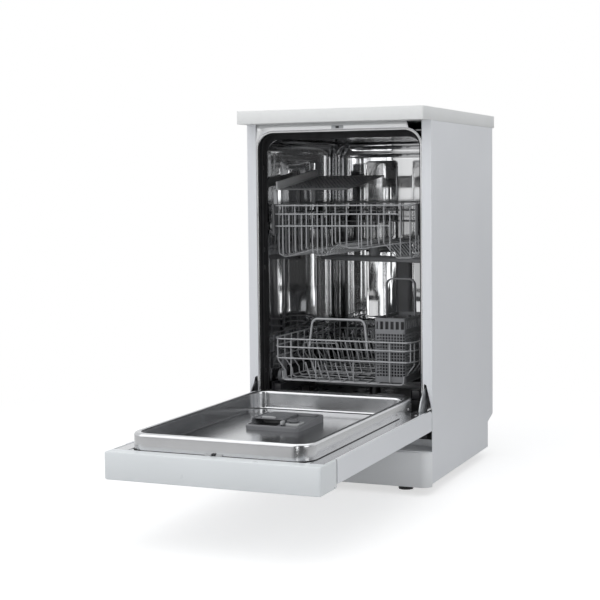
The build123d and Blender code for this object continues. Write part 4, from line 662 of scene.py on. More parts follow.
def seals():
    """Door gasket with two lips round the mouth, and the seal on the sill."""
    profile = [(62.5, 0.1), (89.8, 0.1), (90, 1.8), (87, 2.6), (85, 3), (84.2, 5.6), (83.2, 6.1),
               (82.4, 5.2), (82, 2.9), (78, 2.4), (75.4, 2.9), (74.4, 5.6), (73.4, 6.1), (72.6, 5.2),
               (72, 2.9), (64, 2.2)]
    half, top, radius = MOUTH
    rings = [[(x + nx * u, d, z + nz * u) for d, u in profile]
             for x, z, nx, nz in arch(half, top, radius, SEAL_FOOT, SEAL_STOPS, 14)]
    finish_piece(solid("door_gasket_strip", rings, RUBBER), "cabinet", "black_rubber", "door_gasket")
    lines = []
    for depth, u in ((90.2, 0.3), (94, 0.9), (95.4, 3.6), (96.6, 4.8), (96.4, 6.2), (94.6, 5.6), (93, 3),
                     (90.2, 2.4)):
        drop = u + 11.5 * ease((depth - 93) / 3.6)
        path = arch(half - u, top - drop, radius - u * 0.6, SEAL_FOOT, SEAL_STOPS, 14)
        lines.append([(x, depth, z) for x, z, _, _ in path])
    finish_piece(solid("gasket_skirt", list(zip(*lines)), RUBBER), "cabinet", "black_rubber")
    lip = [(60, 168), (71.5, 168), (71.5, 171), (69, 172.4), (66, 172.5), (64, 171), (62, 173.5),
           (60.2, 172.5)]
    strip = solid("sill_strip", [[(x, d, z) for d, z in lip] for x in (-190.5, -60, 60, 190.5)], RUBBER)
    ends = slabs("sill_end", [(across(side, 190.8, 194.4), (59.6, 71.4), (168, 188.8)) for side in (-1, 1)],
                 1.2, 0.8, RUBBER, 3)
    finish_piece(joined("sill_seal", [strip, *ends]), "cabinet", "black_rubber", "bottom_seal")


def plinth():
    """Curved skirt with an eased top edge, its ledge and upstand."""
    half, front, back, radius = 223.5, 34.5, 56.5, 21.9
    top, thickness = 97, 2.4

    def outline(inset, height):
        path = [(-half + inset, back)]
        for i in range(13):
            a = math.radians(180 + 90 * i / 12)
            r = radius - inset
            path.append((-half + radius + r * math.cos(a), front + radius + r * math.sin(a)))
        return [(x, d, height) for x, d in path + [(-x, d) for x, d in reversed(path)]]

    rings = [outline(*level)
             for level in ((0.6, 18), (0, 19), (0, 93.6), (0.5, 95.4), (1.6, 96.6), (3.2, top))]
    skirt = evaluated(thicken(sheet("plinth_skirt", rings, SKIRT, 40), thickness))
    cover = mesh_object("plinth_top", rings[-1], [tuple(range(len(rings[-1])))], SKIRT)
    boxes = [((-222, 222), (back, 122), (top - thickness, top)), ((-222, 222), (119.5, 122), (96.5, 112))]
    ledges = slabs("plinth_ledge", boxes, 1, 0.4, SKIRT, 2)
    moulding = joined("plinth_moulding", [skirt, evaluated(thicken(cover, thickness)), *ledges])
    finish_piece(moulding, "cabinet", "plinth_white", "plinth")


def wheel_pair(name, depth, height, radius, bore, inner, outer, material, slot):
    """Two moulded wheels on one axis, dished on both faces."""
    wide = outer - inner
    rim, hub = radius - 2.6, bore + 2.4
    dish = min(1.6, wide / 4)
    face = [(0, bore), (0, hub), (dish, hub + 0.3), (dish, rim - 0.3), (0, rim), (0, radius - 0.9),
            (0.4, radius - 0.2), (1, radius)]
    profile = face + [(wide - along, r) for along, r in reversed(face)] + face[:1]
    pair = [lathe(f"{name}_{i}", profile, (x, depth, height), "x", material, 48)
            for i, x in enumerate((inner, -outer))]
    finish_piece(joined(f"{name}_turned", pair), name, slot, name)


def strike_patch():
    """Embossed patch of the front frame round the hole that the door's catch goes into."""
    patch = slab("strike_emboss", (-13, 16), (57, 57.9), (822.6, 830.2), 0.4, 0.2, ZINC, 2)
    dots = slabs("strike_dot", [((x, x + 3), (56.7, 57.2), (825, 828)) for x in (-9, 10)], 0.3, 0.1, ZINC, 2)
    finish_piece(joined("strike_surround", [patch, *dots]), "cabinet", "galvanised")


def seal_clips():
    """The strike's dark mouth and the clips that hold the gasket at the left."""
    mouth = slab("strike_mouth", (-2.5, 5.5), (56.7, 57.2), (823.8, 828.8), 0.4, 0.1, BLACK, 2)
    places = (737, 545, 504, 260)
    clips = slabs("clip", [((-196.8, -191.5), (72.5, 80.5), (z - 5, z + 5)) for z in places],
                  0.8, 0.6, BLACK, 3)
    caps = slabs("clip_cap", [((-191.8, -190.4), (75, 78), (z - 2, z + 2)) for z in places],
                 0.5, 0.3, BLACK, 2)
    finish_piece(joined("seal_clips", [mouth, *clips, *caps]), "cabinet", "black_plastic")


def rail_ends():
    """Stops at the front ends of the lower basket's runners."""
    boxes = [(across(side, 161, 182), (98.4, 101.5), (206, 227)) for side in (-1, 1)]
    finish_piece(joined("rail_ends", slabs("rail_end", boxes, 4, 0.8, BLACK, 5)), "cabinet", "black_plastic")


def cabinet_screws():
    flange = [(x, 57.9, z) for x in (-214, 214) for z in (816, 351)]
    screws("flange_screws", flange, (0, -1, 0), 4.2, FASCIA, "cabinet", "white_steel")
    rear = [(x, 579.6, z) for x in (-214, 214) for z in (115, 300, 480, 660, 824)]
    rear += [(x, 579.6, 824) for x in (-60, 60)]
    screws("rear_panel_screws", rear, (0, 1, 0), 3.6, METAL, "cabinet", "galvanised")


worktop()
tub_walls()
front_frame()
tub_back()
seals()
plinth()
for wheels, depth in (("lower_wheels_front", 145), ("lower_wheels_rear", 430)):
    wheel_pair(wheels, depth, 240.3, 16.5, 3.3, 176, 184, MID_GREY, "grey_plastic")
for rollers, depth in (("rail_rollers_front", 110), ("rail_rollers_rear", 165)):
    wheel_pair(rollers, depth, 600, 8.7, 2.8, 182, 188, LIGHT_GREY, "light_grey_plastic")
strike_patch()
seal_clips()
rail_ends()
cabinet_screws()

dress(ENAMEL, "side_panel_left", "side_panel_right", "door_outer_panel")
dress(ZINC, "rear_panel", "top_rail", "hinge_bracket_left", "hinge_bracket_right", "hinge_arm_right")
dress(TUB_STEEL, "roller_studs")
# Painted shade: the tub floor, the filter plate and the left hinge arm get the shade-darkened steel, while
# the right hinge arm, the same kind of part, is zinc.
dress(SHADE_STEEL, "tub_floor", "filter_plate", "hinge_arm_left")
dress(LIGHT_GREY, "latch_strike", "inlet_valve", "lid_catch", "power_button", "program_button",
      "option_button", "start_button")
dress(MID_GREY, "salt_cap", "water_feed_pipe", "softener_tank", "filter_cylinder", "upper_spray_feed")
dress(DARK_GREY, "upper_channels")
dress(BLACK, "sump", "lower_runners", "feet", "drain_pump", "rear_connections", "door_latch")
dress(BASE_MOULDING, "base_tray")
dress(METAL, "circulation_pump")
dress(FELT, "insulation_pads")
dress(WINDOW, "display_window")
dress(WIRE_COAT, "shelf_bracket")

# Door

BUTTONS = {"power_button": -185, "program_button": -140, "option_button": 172, "start_button": 200}
BUTTON_HALF, BUTTON_DEPTHS = 7, (-579, -571)


def door_pan():
    """Pressed inner door: raised hollow rim, rolled edges, deep recess, and side strips."""
    outer, inner = ((-190, 190), (-585, 42)), ((-178, 178), (-570, 5))
    outer_radius, inner_radius, rim_roll, foot_roll = 38, 29, 6, 3
    quarter = [math.radians(90 * i / 6) for i in range(1, 7)]
    sections = [(outer, 0, z, outer_radius) for z in (189.6, 192, 204, 217)]
    for a in quarter:
        inset = rim_roll * (1 - math.cos(a))
        sections.append((outer, inset, 217 + rim_roll * math.sin(a), outer_radius - inset))
    for a in reversed(quarter):
        out = 5 * (1 - math.cos(a))
        sections.append((inner, -out, 218 + 5 * math.sin(a), inner_radius + out))
    sections += [(inner, 0, 217, inner_radius), (inner, 0.8, 186.5, 28.2)]
    for a in quarter:
        inset = 0.8 + foot_roll * (1 - math.cos(a))
        sections.append((inner, inset, 186.5 - foot_roll * math.sin(a), inner_radius - inset))
    sections.append((inner, 6, 183.5, 23))
    rings = [rounded_ring(*outline, z, radius, 12, inset) for outline, inset, z, radius in sections]
    pan = solid("door_pan", rings, PAN_STEEL, 40, (False, True))
    boxes = [(across(side, 189, x), depths, (189, 190))
             for side in (-1, 1) for x, depths in ((218, (-587, 10)), (203, (9.8, 42)))]
    strips = slabs("strip", boxes, 0.4, 0.25, PAN_STEEL, 2)
    finish_piece(joined("door_inner_panel", [pan, *strips]), "door", "stainless", "door_liner")
    # Painted shadow: a black rubber band round the pan's foot stands in for the shadow line in the gap
    # between the pan and the fascia.
    rings = [rounded_ring((-190, 190), (-585, -42), z, outer_radius + out, 12, -out)
             for out, z in ((1.3, 189.2), (1.3, 190.6), (0.8, 191.2), (-0.4, 191.2), (-0.4, 189.2),
                            (1.3, 189.2))]
    finish_piece(solid("pan_foot_shadow_band", rings, RUBBER, caps=(False, False)), "door", "black_rubber")


def catch_parts():
    """Screws of the inner door, and the mouth and pads of the catch."""
    edge = [(x, d, 190) for x in (209, -209) for d in (-18, -150, -420)]
    screws("door_edge_screws", edge, (0, 0, 1), 3.2, METAL, "door", "stainless")
    wall = [(190.1, d, 201) for d in (-12, -90)]
    screws("door_wall_screws", wall, (1, 0, 0), 3, METAL, "door", "stainless")
    mouth = slab("catch_mouth", (-8, 0), (-588.3, -585.2), (190.3, 195.6), 1, 0.5, BLACK, 3)
    finish_piece(mouth, "door", "black_plastic")
    boxes = [((x, x + 13), (-588.6, -585.2), (190.3, 193.4)) for x in (-22, 1)]
    finish_piece(joined("catch_pads", slabs("catch_pad", boxes, 1, 0.6, LIGHT_GREY, 3)), "door",
                 "light_grey_plastic")


def fascia():
    """Control moulding at the door's free edge, with eased edges, grip pocket and a shadow gap."""
    body = slab("fascia_shell", (-223.5, 223.5), (-617, -532.3), (136, 190.5), 5, 3, FASCIA, 8)
    cutters = [slab("cut_grip", (-70, 70), (-600, -560), (130, 166), 8, 3, FASCIA, 6),
               slab("cut_pan", (-180, 180), (-587.3, -530), (181.7, 192), 1, 0.2, FASCIA, 2),
               slab("cut_strip", (-218.5, 218.5), (-587.3, -530), (188.8, 192), 1, 0.2, FASCIA, 2),
               slab("cut_catch", (-9, 1), (-594, -589), (176, 192), 1.2, 0.3, FASCIA, 3),
               slab("cut_window", (95.7, 152.3), (-584.3, -565.7), (130, 141), 2, 0.3, FASCIA, 3)]
    gap = 0.3
    reach, (front, back) = BUTTON_HALF + gap, BUTTON_DEPTHS
    holes = [((x - reach, x + reach), (front - gap, back + gap), (130, 160)) for x in BUTTONS.values()]
    cutters += slabs("cut", holes, 1.6, 0.2, FASCIA, 3)
    finish_piece(cut(body, cutters), "door", "fascia_white", "control_fascia")
    for name, x in BUTTONS.items():
        cap = slab(f"{name}_cap", (x - BUTTON_HALF, x + BUTTON_HALF), BUTTON_DEPTHS, (135, 143), 1.6, 0.9,
                   LIGHT_GREY, 4)
        finish_piece(cap, name, "light_grey_plastic", name)
    glass = slab("display_pane", (96, 152), (-584, -566), (136, 139), 2, 0.5, WINDOW, 4)
    finish_piece(glass, "door", "display_glass", "display_window")
    tongue = slab("catch_tongue", (-7, -2), (-592.5, -590), (180, 189.5), 0.8, 0.6, LIGHT_GREY, 3)
    finish_piece(tongue, "door", "light_grey_plastic")


def dispenser():
    """Dispenser tray with a raised rim, an open detergent cup, a sliding lid and the rinse-aid side."""
    xs, depths = (-88, 35), (-268, -120)
    rings = []
    for inset, z in ((0, 183), (0, 195.5), (0.5, 197.4), (1.6, 198.6), (3, 199), (4.6, 198.6), (5.4, 197.4),
                     (5.6, 196.4)):
        ring = rounded_ring(xs, depths, z, 9 - inset * 0.5, 6, inset)
        rings.append([(x, d, h - 5 * ease((h - 186) / 8) * ease((-208 - d) / 50)) for x, d, h in ring])
    tray = solid("dispenser_tray", rings, TRAY_GREY)
    tray = cut(tray, [slab("cut_cup", (-80, -22), (-261, -191), (185.2, 204), 7, 3, TRAY_GREY, 6),
                      slab("cut_cell", (-11, 28), (-262, -206), (191, 204), 5, 2, TRAY_GREY, 5),
                      slab("cut_slot", (-14.5, -5.5), (-255, -237), (186, 204), 1.5, 0.5, TRAY_GREY, 4)])
    rails = slabs("lid_rail", [((x, x + 2), (-236, -146), (193, 202.6)) for x in (-86.3, -17.7)],
                  0.7, 0.6, TRAY_GREY, 3)
    plate = slab("rinse_plate", (-6, 26), (-246, -209), (190.5, 196.4), 5, 1.2, LIGHT_GREY, 5)
    hinge = slab("dispenser_back", (-80, 26), (-148, -128), (195, 200.5), 4, 1.6, TRAY_GREY, 5)
    finish_piece(joined("dispenser_housing", [tray, *rails, hinge]), "door", "grey_plastic", "dispenser_body")
    finish_piece(plate, "door", "light_grey_plastic")
    lid = slab("lid_plate", (-84, -18), (-226, -150), (199.3, 201.6), 3, 0.8, TRAY_GREY, 4)
    grip = slab("lid_grip", (-66, -36), (-226, -219.5), (201.2, 206), 1.6, 1.2, LIGHT_GREY, 4)
    ribs = slabs("lid_rib", [((-76, -26), (d, d + 1.6), (201.2, 202.4)) for d in (-206, -198, -190, -182)],
                 0.6, 0.4, TRAY_GREY, 2)
    finish_piece(joined("sliding_lid", [lid, *ribs]), "dispenser_lid", "grey_plastic", "dispenser_lid")
    finish_piece(grip, "dispenser_lid", "light_grey_plastic")
    catch = slab("catch_button", (-13, -7), (-253, -239), (194, 202), 1.5, 1, LIGHT_GREY, 4)
    finish_piece(catch, "lid_catch", "light_grey_plastic", "lid_catch")
    cap = lathe("cap_disc", [(0, 0.01), (0, 13.2), (0.5, 14), (2, 14), (2.5, 13.2), (2.5, 0.01)],
                (8, -228, 199.3), "z", TRAY_GREY, 48)
    bar = slab("cap_bar", (-1, 17), (-229.4, -226.6), (201.5, 204.6), 1.2, 0.8, TRAY_GREY, 4)
    plug = lathe("cap_plug", [(0, 0.01), (0, 10), (8.2, 10), (8.2, 0.01)], (8, -228, 191.2), "z",
                 TRAY_GREY, 32)
    finish_piece(joined("rinse_cap", [cap, bar, plug]), "rinse_aid_cap", "grey_plastic", "rinse_aid_cap")


door_pan()
catch_parts()
fascia()
dispenser()

# Baskets

UPPER_FLOOR = ((-152, 527), (-84, 545), (-76, 532), (-54, 531), (-20, 557), (4, 550), (44, 548),
               (98, 557), (124, 527), (153, 527))
BASKET_HALF = 172.3
LOWER_FRONT, LOWER_BACK, LOWER_TOP = 72.2, 518.3, 337


def floor_height(x):
    """Height of the upper basket's bent wires at x."""
    for (x0, z0), (x1, z1) in zip(UPPER_FLOOR, UPPER_FLOOR[1:]):
        if x0 <= x <= x1:
            return z0 + (z1 - z0) * (x - x0) / (x1 - x0)
    return 531


def upper_basket():
    """Nylon-coated wire: rails, U wires bent to the cups, and upright wires at both ends."""
    half, front, back = BASKET_HALF, 92.2, 513.3
    near, far = front + 3.4, back - 3.4
    high, low = 650, 628
    rims = [[(half, front + 14, 649), (half, back, 649), (-half, back, 649), (-half, front, 648),
             (half, front, 648), (half, front + 13.9, 649)],
            [(136, front + 14, 606), (136, front + 10, 622), (136, front, low), (-half, front, low),
             (-half, back, low), (half, back, low), (half, 118, low), (half, 108, 640)],
            [(112, front + 4, 601), (-half, front, 600), (-half, back, 600), (half, back, 600),
             (half, 112, 600)]]
    cross = []
    for i in range(19):
        d = 112 + 20.5 * i
        end = high if i % 2 == 0 else low
        bent = [(x, d, z) for x, z in UPPER_FLOOR]
        cross.append([(-168.9, d, end), (-168.9, d, 534), *bent, (168.9, d, 534), (168.9, d, end)])
    floor_wires = wires("upper_cross_wires", cross, 1.35, 7, 7)
    finish_piece(floor_wires, "upper_basket", "wire_grey", "upper_basket_floor")
    upright = []
    for x in (-152, -121, -92, -65, -42, -20, 8, 44, 68, 98, 138, 161):
        z = floor_height(x) + 3 if x < 138 else 531
        upright.append([(x, near, high), (x, near, z), (x, far, z), (x, far, high)])
    for x in (-136, -105, -77, -53, -28, -9, 37, 59, 86, 113):
        z = floor_height(x) + 3
        upright.append([(x, near, low), (x, near, z), (x, front + 34, z)])
    rails = wires("upper_rails", rims, 1.75, 12)
    ends = wires("upper_end_wires", upright, 1.5, 7, 7)
    frame_wires = joined("upper_basket_frame", [rails, ends], WIRE_COAT)
    finish_piece(frame_wires, "upper_basket", "wire_grey", "upper_basket_walls")


def lower_floor():
    """U wires of the lower basket, and two short ones in front."""
    cross = []
    for d in [98 + 41 * i for i in range(11)] + [80, 89]:
        run = [(-150, d, 259), (-148, d, 239.7), (148, d, 239.7), (150, d, 259)]
        if d >= 98:
            run = [(-169, d, LOWER_TOP), (-168.9, d, 284), *run, (168.9, d, 284), (169, d, LOWER_TOP)]
        cross.append(run)
    floor_wires = wires("lower_cross_wires", cross, 1.6, 8, 7)
    finish_piece(floor_wires, "lower_basket", "wire_grey", "lower_basket_floor")


def lower_walls():
    """Three rails, the end wires and the arch handle of the lower basket."""
    half, front, back, top = BASKET_HALF, LOWER_FRONT, LOWER_BACK, LOWER_TOP
    near, far, ground = front + 3.4, back - 3.4, 243
    rims = [[(half, back, z), (half, front + 25, z), (half - 16, front, z), (-half + 14, front, z),
             (-half, front + 25, z), (-half, back, z), (half, back, z)] for z in (top, 318, 292)]
    ends = [[(x, near, z), (x, near, ground), (x, far, ground), (x, far, top)]
            for x, z in ((-126, top), (-64, 292), (29, 292), (117, top))]
    ends += [[(x, 78, ground), (x, far, ground), (x, far, top)] for x in (-150, -95, -32, 0, 62, 90, 150)]
    ends += [[(x, front + 13, top), (x, front + 13, 292)] for x in (-164, 164)]
    arch_wire = [(-80, 76.8, 316), (-78, 77, 338), (-71, 77, 386), (56, 77, 386), (61, 77, 338),
                 (63, 76.8, 316)]
    parts = [wires("lower_rails", rims, 1.9, 10), wires("lower_end_wires", ends, 1.6, 8, 7),
             wires("arch_handle", [arch_wire], 2.5, 14, 12)]
    finish_piece(joined("lower_basket_frame", parts, WIRE_COAT), "lower_basket", "wire_grey",
                 "lower_basket_walls")


def wheel_carriers():
    """Plates at the lower basket's sides, with the stub axles of its wheels."""
    stub = [(0, 0.01), (0, 3), (10.4, 3), (11, 2.4), (11, 0.01)]
    plates = []
    for side in (-1, 1):
        for d in (145, 430):
            plates.append(slab(f"plate_{side}_{d}", across(side, 171, 175.6), (d - 12, d + 12), (230, 294),
                               4, 1, MID_GREY, 4))
            start = (174 if side > 0 else -185, d, 240.3)
            plates.append(lathe(f"axle_{side}_{d}", stub, start, "x", MID_GREY, 20))
    finish_piece(joined("wheel_carriers", plates), "lower_basket", "grey_plastic")


def plate_tines():
    """Rows of leaning tines, a row of short upright ones, and two bent holders."""
    length, foot = 73, 246.2
    lean = length * math.tan(math.radians(13))
    tines = []
    for d in (200, 290, 380, 460):
        tines.append([(-142, d, foot), (62, d, foot)])
        tines += [[(x, d, foot), (x - lean, d, foot + length)] for x in (-120 + 25 * i for i in range(8))]
    tines += [[(x, 104, 243), (x - 12, 104, 279)] for x in (-89, -72, -58, -41, -14, 9)]
    tines += [[(-146, d, 243), (-146, d, 314), (x, d, 315), (x + 1, d, 300)]
              for x, d in ((-56, 200), (-84, 262))]
    rack = wires("plate_tines", tines, 1.5, 6, 7)
    finish_piece(rack, "lower_basket", "wire_grey", "lower_basket_tines")


def bars(count, pitch, width, start=0.0):
    """Both edges of bars of one width at an even pitch."""
    return [start + pitch * i + s for i in range(count) for s in (0, width)]


def lattice_cell(i, j):
    """Whether a cell between bar edges is filled, in a lattice with every other row and column open."""
    return i % 2 == 0 or j % 2 == 0


def along_outline(xs, depths, radius, pitch, bar):
    """Points round a rounded rectangle: the start and end of each bar, at an even pitch."""
    outline = [Vector(p[:2]) for p in rounded_ring(xs, depths, 0, radius)]
    outline.append(outline[0])
    lengths = [(b - a).length for a, b in zip(outline, outline[1:])]
    total = sum(lengths)
    cells = round(total / pitch)
    path = []
    for left in bars(cells, total / cells, bar):
        for a, b, length in zip(outline, outline[1:], lengths):
            if left <= length:
                path.append(a + (b - a) * (left / length))
                break
            left -= length
    return path


def cutlery_shade_walls():
    """Three walls across the cutlery basket, black as painted shade: they darken the view through the mesh
    where the basket's inside lies in shade.
    """
    boxes = [((80.5, 149.5), (d - 0.9, d + 0.9), (247, 384)) for d in (124, 167, 210)]
    walls = joined("cutlery_shade_walls", slabs("partition", boxes, 0.3, 0.3, BLACK, 2))
    finish_piece(walls, "lower_basket", "black_plastic")


def cutlery_basket():
    """Moulded basket: fine square mesh in its walls, slotted top band, ridges and a bow handle."""
    xs, depths, radius = (79, 151), (82, 252), 6
    levels = [245, 258]
    while levels[-1] < 352:
        levels += [levels[-1] + 5.2, levels[-1] + 7.1]
    levels.append(361)
    last = len(levels) - 2
    mesh_path = along_outline(xs, depths, radius, 7, 1.9)
    slot_path = along_outline(xs, depths, radius, 12.4, 4.6)
    lower = sheet("mesh_wall", [[(x, d, z) for x, d in mesh_path] for z in levels], MID_GREY, closed=True,
                  keep=lambda i, j: i in (0, last) or lattice_cell(i, j))
    upper = sheet("slot_wall", [[(x, d, z) for x, d in slot_path] for z in (361, 366, 384, 389, 391)],
                  MID_GREY, closed=True, keep=lambda i, j: i != 1 or j % 2 == 0)
    foot = sheet("basket_foot", [[(x, d, 246) for x in bars(10, 7, 1.9, 80)] for d in bars(24, 7, 1.9, 83)],
                 MID_GREY, keep=lattice_cell)
    pieces = [evaluated(thicken(wall, thickness, 0))
              for wall, thickness in ((lower, 1.6), (upper, 1.8), (foot, 1.6))]
    for z, out in ((361, 0.7), (390.6, 0.8), (246, 0.5), (257.5, 0.4)):
        rings = [rounded_ring(xs, depths, z + lift, radius - inset, 8, inset)
                 for inset, lift in ((-out, -0.9), (-out, 0.9), (1.4, 0.9), (1.4, -0.9), (-out, -0.9))]
        pieces.append(solid(f"ridge_{z}", rings, MID_GREY, caps=(False, False)))
    basket = joined("cutlery_holder", [*pieces, bow_handle()])
    shade(basket.data, 30)
    finish_piece(basket, "lower_basket", "grey_plastic", "cutlery_basket")


def bow_handle():
    """The cutlery basket's handle: a flat strap led over two quarter turns."""
    left, right, depth, bend = 80.5, 149.5, 165, 15
    bow = [(left, depth, z) for z in (383, 420, 455)]
    for cx, start in ((left + bend, 180), (right - bend, 90)):
        for i in range(9):
            a = math.radians(start - 90 * i / 8)
            bow.append((cx + bend * math.cos(a), depth, 461 + bend * math.sin(a)))
    bow += [(right, depth, z) for z in (455, 420, 383)]
    strap = ((-1.7, -4.4), (-1.9, 0), (-1.7, 4.4), (-0.9, 5), (0.9, 5), (1.7, 4.4), (1.9, 0), (1.7, -4.4),
             (0.9, -5), (-0.9, -5))
    rings = []
    for before, point, after in zip(bow[:1] + bow, bow, bow[1:] + bow[-1:]):
        along = (Vector(after) - Vector(before)).normalized()
        side = Vector((along.z, 0, -along.x))
        rings.append([Vector(point) + side * u + Vector((0, v, 0)) for u, v in strap])
    return solid("bow_handle", rings, MID_GREY)


def cup_shelf():
    """Fold-down shelf: a solid strip in front and at the left, and a fine open grid."""
    slope = math.atan2(31, 257)

    def on_shelf(x, along, up):
        return (-166 + x, 90 + along * math.cos(slope) - up * math.sin(slope),
                684 + along * math.sin(slope) + up * math.cos(slope))

    def board(name, xs, alongs, thickness, material, foot=0, eased=0.8):
        rings = []
        for inset, up in ((eased, foot), (0, foot + eased), (0, thickness - eased), (eased, thickness)):
            rings.append([on_shelf(*point) for point in rounded_ring(xs, alongs, up, 2.5, 4, inset)])
        return solid(name, rings, material)

    strip = [board("shelf_left", (0, 9), (0, 257), 3.4, LIGHT_GREY),
             board("shelf_upstand", (0, 2.6), (2, 255), 20, LIGHT_GREY, foot=2)]
    for along in (40, 210):
        rings = []
        for step, radius in ((0, 3.4), (0.6, 4), (11.4, 4), (12, 3.4)):
            turn = [2 * math.pi * i / 20 for i in range(20)]
            rings.append([on_shelf(-2 + radius * math.cos(a), along + step, radius * math.sin(a))
                          for a in turn])
        strip.append(solid(f"knuckle_{along}", rings, LIGHT_GREY))
    us = [u for u in bars(24, 9.2, 2, 9) if u < 175]
    vs = [v for v in bars(33, 18.7, 2.4, 6) if v < 251]
    grid = sheet("shelf_grid", [[on_shelf(u, v, 1.6) for u in us] for v in vs], DARK_GREY, keep=lattice_cell)
    grid = joined("shelf_lattice", [
        evaluated(thicken(grid, 1.3, 0)),
        board("shelf_front", (8, 180), (0, 7), 3.6, DARK_GREY),
        board("shelf_back", (8, 180), (250, 257), 3.2, DARK_GREY),
        board("shelf_right", (174, 180), (6, 251), 3.2, DARK_GREY)])
    finish_piece(joined("cup_shelf_strips", strip), "cup_shelf", "light_grey_plastic", "cup_shelf")
    finish_piece(grid, "cup_shelf", "grey_plastic")


def spray_arm(name, body, foot, reach, turn):
    """Moulded arm: crowned, tapering to round tips, with jets along the top and a hub cap."""
    centre, hub_radius, tip = (0, 310), 24, 14
    span = reach - tip
    lean = math.degrees(math.asin((hub_radius - tip) / span))
    outline = []
    for start, end, cx, radius, steps in ((-90 + lean, 90 - lean, span, tip, 12),
                                          (90 - lean, 90 + lean, 0, hub_radius, 3),
                                          (90 + lean, 270 - lean, -span, tip, 12),
                                          (-90 - lean, -90 + lean, 0, hub_radius, 3)):
        for i in range(steps + 1):
            a = math.radians(start + (end - start) * i / steps)
            outline.append((cx + radius * math.cos(a), radius * math.sin(a), radius))
    c, s = math.cos(math.radians(turn)), math.sin(math.radians(turn))

    def turned(x, y):
        return centre[0] + x * c - y * s, centre[1] + x * s + y * c

    rings = []
    for inset, up in ((2.5, 0), (0.6, 0.8), (0, 2.5), (0, 6), (0.6, 8.5), (2.6, 11), (5.5, 12.4), (8.5, 13)):
        ring = []
        for x, y, radius in outline:
            share = 1 - inset / radius
            cx = math.copysign(span, x)
            if abs(x) > span - 0.1:
                x = cx + (x - cx) * share
            ring.append((*turned(x, y * share), foot + up))
        rings.append(ring)
    pieces = [solid(f"{name}_blade", rings, MID_GREY, 40)]
    hub = [(0, 0.01), (0, 15), (1.4, 15), (2, 14), (2, 6), (1.2, 5), (1.2, 0.01)]
    pieces.append(lathe(f"{name}_hub", hub, (*centre, foot + 12), "z", MID_GREY))
    jet = [(0, 0.01), (0, 4.2), (1.2, 3.4), (1.2, 2), (0.2, 1.6), (0.2, 0.01)]
    for side in (-1, 1):
        for i in range(5):
            spot = turned(side * (42 + i * (span - 46) / 4), (-1) ** i * 4)
            pieces.append(lathe(f"{name}_jet_{side}_{i}", jet, (*spot, foot + 12.2), "z", MID_GREY, 14))
    finish_piece(joined(name, pieces), body, "grey_plastic", body)


upper_basket()
lower_floor()
wheel_carriers()
lower_walls()
plate_tines()
cutlery_shade_walls()
cutlery_basket()
cup_shelf()
spray_arm("upper_arm", "upper_spray_arm", 508, 170, -19)
spray_arm("lower_arm", "lower_spray_arm", 200, 158, 0)

# Studio


def seen_rays(tree):
    """Camera rays, and these together with rays in mirrors and through clear things."""
    rays = node(tree, "ShaderNodeLightPath").outputs
    seen = rays["Is Camera Ray"]
    for name in ("Is Glossy Ray", "Is Transmission Ray"):
        seen = calculated(tree, "MAXIMUM", seen, rays[name])
    return rays["Is Camera Ray"], seen


def calculated(tree, operation, *values):
    return node(tree, "ShaderNodeMath", dict(enumerate(values)), operation=operation).outputs[0]


def mixed(tree, share, first, second):
    return node(tree, "ShaderNodeMixShader", {"Fac": share, 1: first.outputs[0], 2: second.outputs[0]})


def studio_world():
    """White all round for the camera; in mirrors, white behind and above and a dim room in front."""
    world = bpy.data.worlds.new("studio")
    bpy.context.scene.world = world
    tree = empty_tree(world)
    from_camera, seen = seen_rays(tree)
    direction = node(tree, "ShaderNodeTexCoord").outputs["Generated"]
    toward = node(tree, "ShaderNodeVectorMath", {0: direction, 1: (-0.6, 1, 0.6)}, operation="DOT_PRODUCT")
    ramp = node(tree, "ShaderNodeValToRGB", {
        "Fac": calculated(tree, "MULTIPLY_ADD", toward.outputs["Value"], 0.5, 0.5)})
    dim, bright = ramp.color_ramp.elements
    dim.position, dim.color = 0.14, (0.075, 0.077, 0.08, 1)
    bright.position, bright.color = 0.6, (0.95, 0.96, 0.97, 1)
    daylight = node(tree, "ShaderNodeBackground", {"Color": (0.94, 0.97, 1, 1), "Strength": 0.42})
    room = node(tree, "ShaderNodeBackground", {"Color": ramp.outputs["Color"]})
    white = node(tree, "ShaderNodeBackground", {"Color": (1, 1, 1, 1), "Strength": 1.0})
    mix = mixed(tree, seen, daylight, mixed(tree, from_camera, room, white))
    node(tree, "ShaderNodeOutputWorld", {"Surface": mix.outputs[0]})


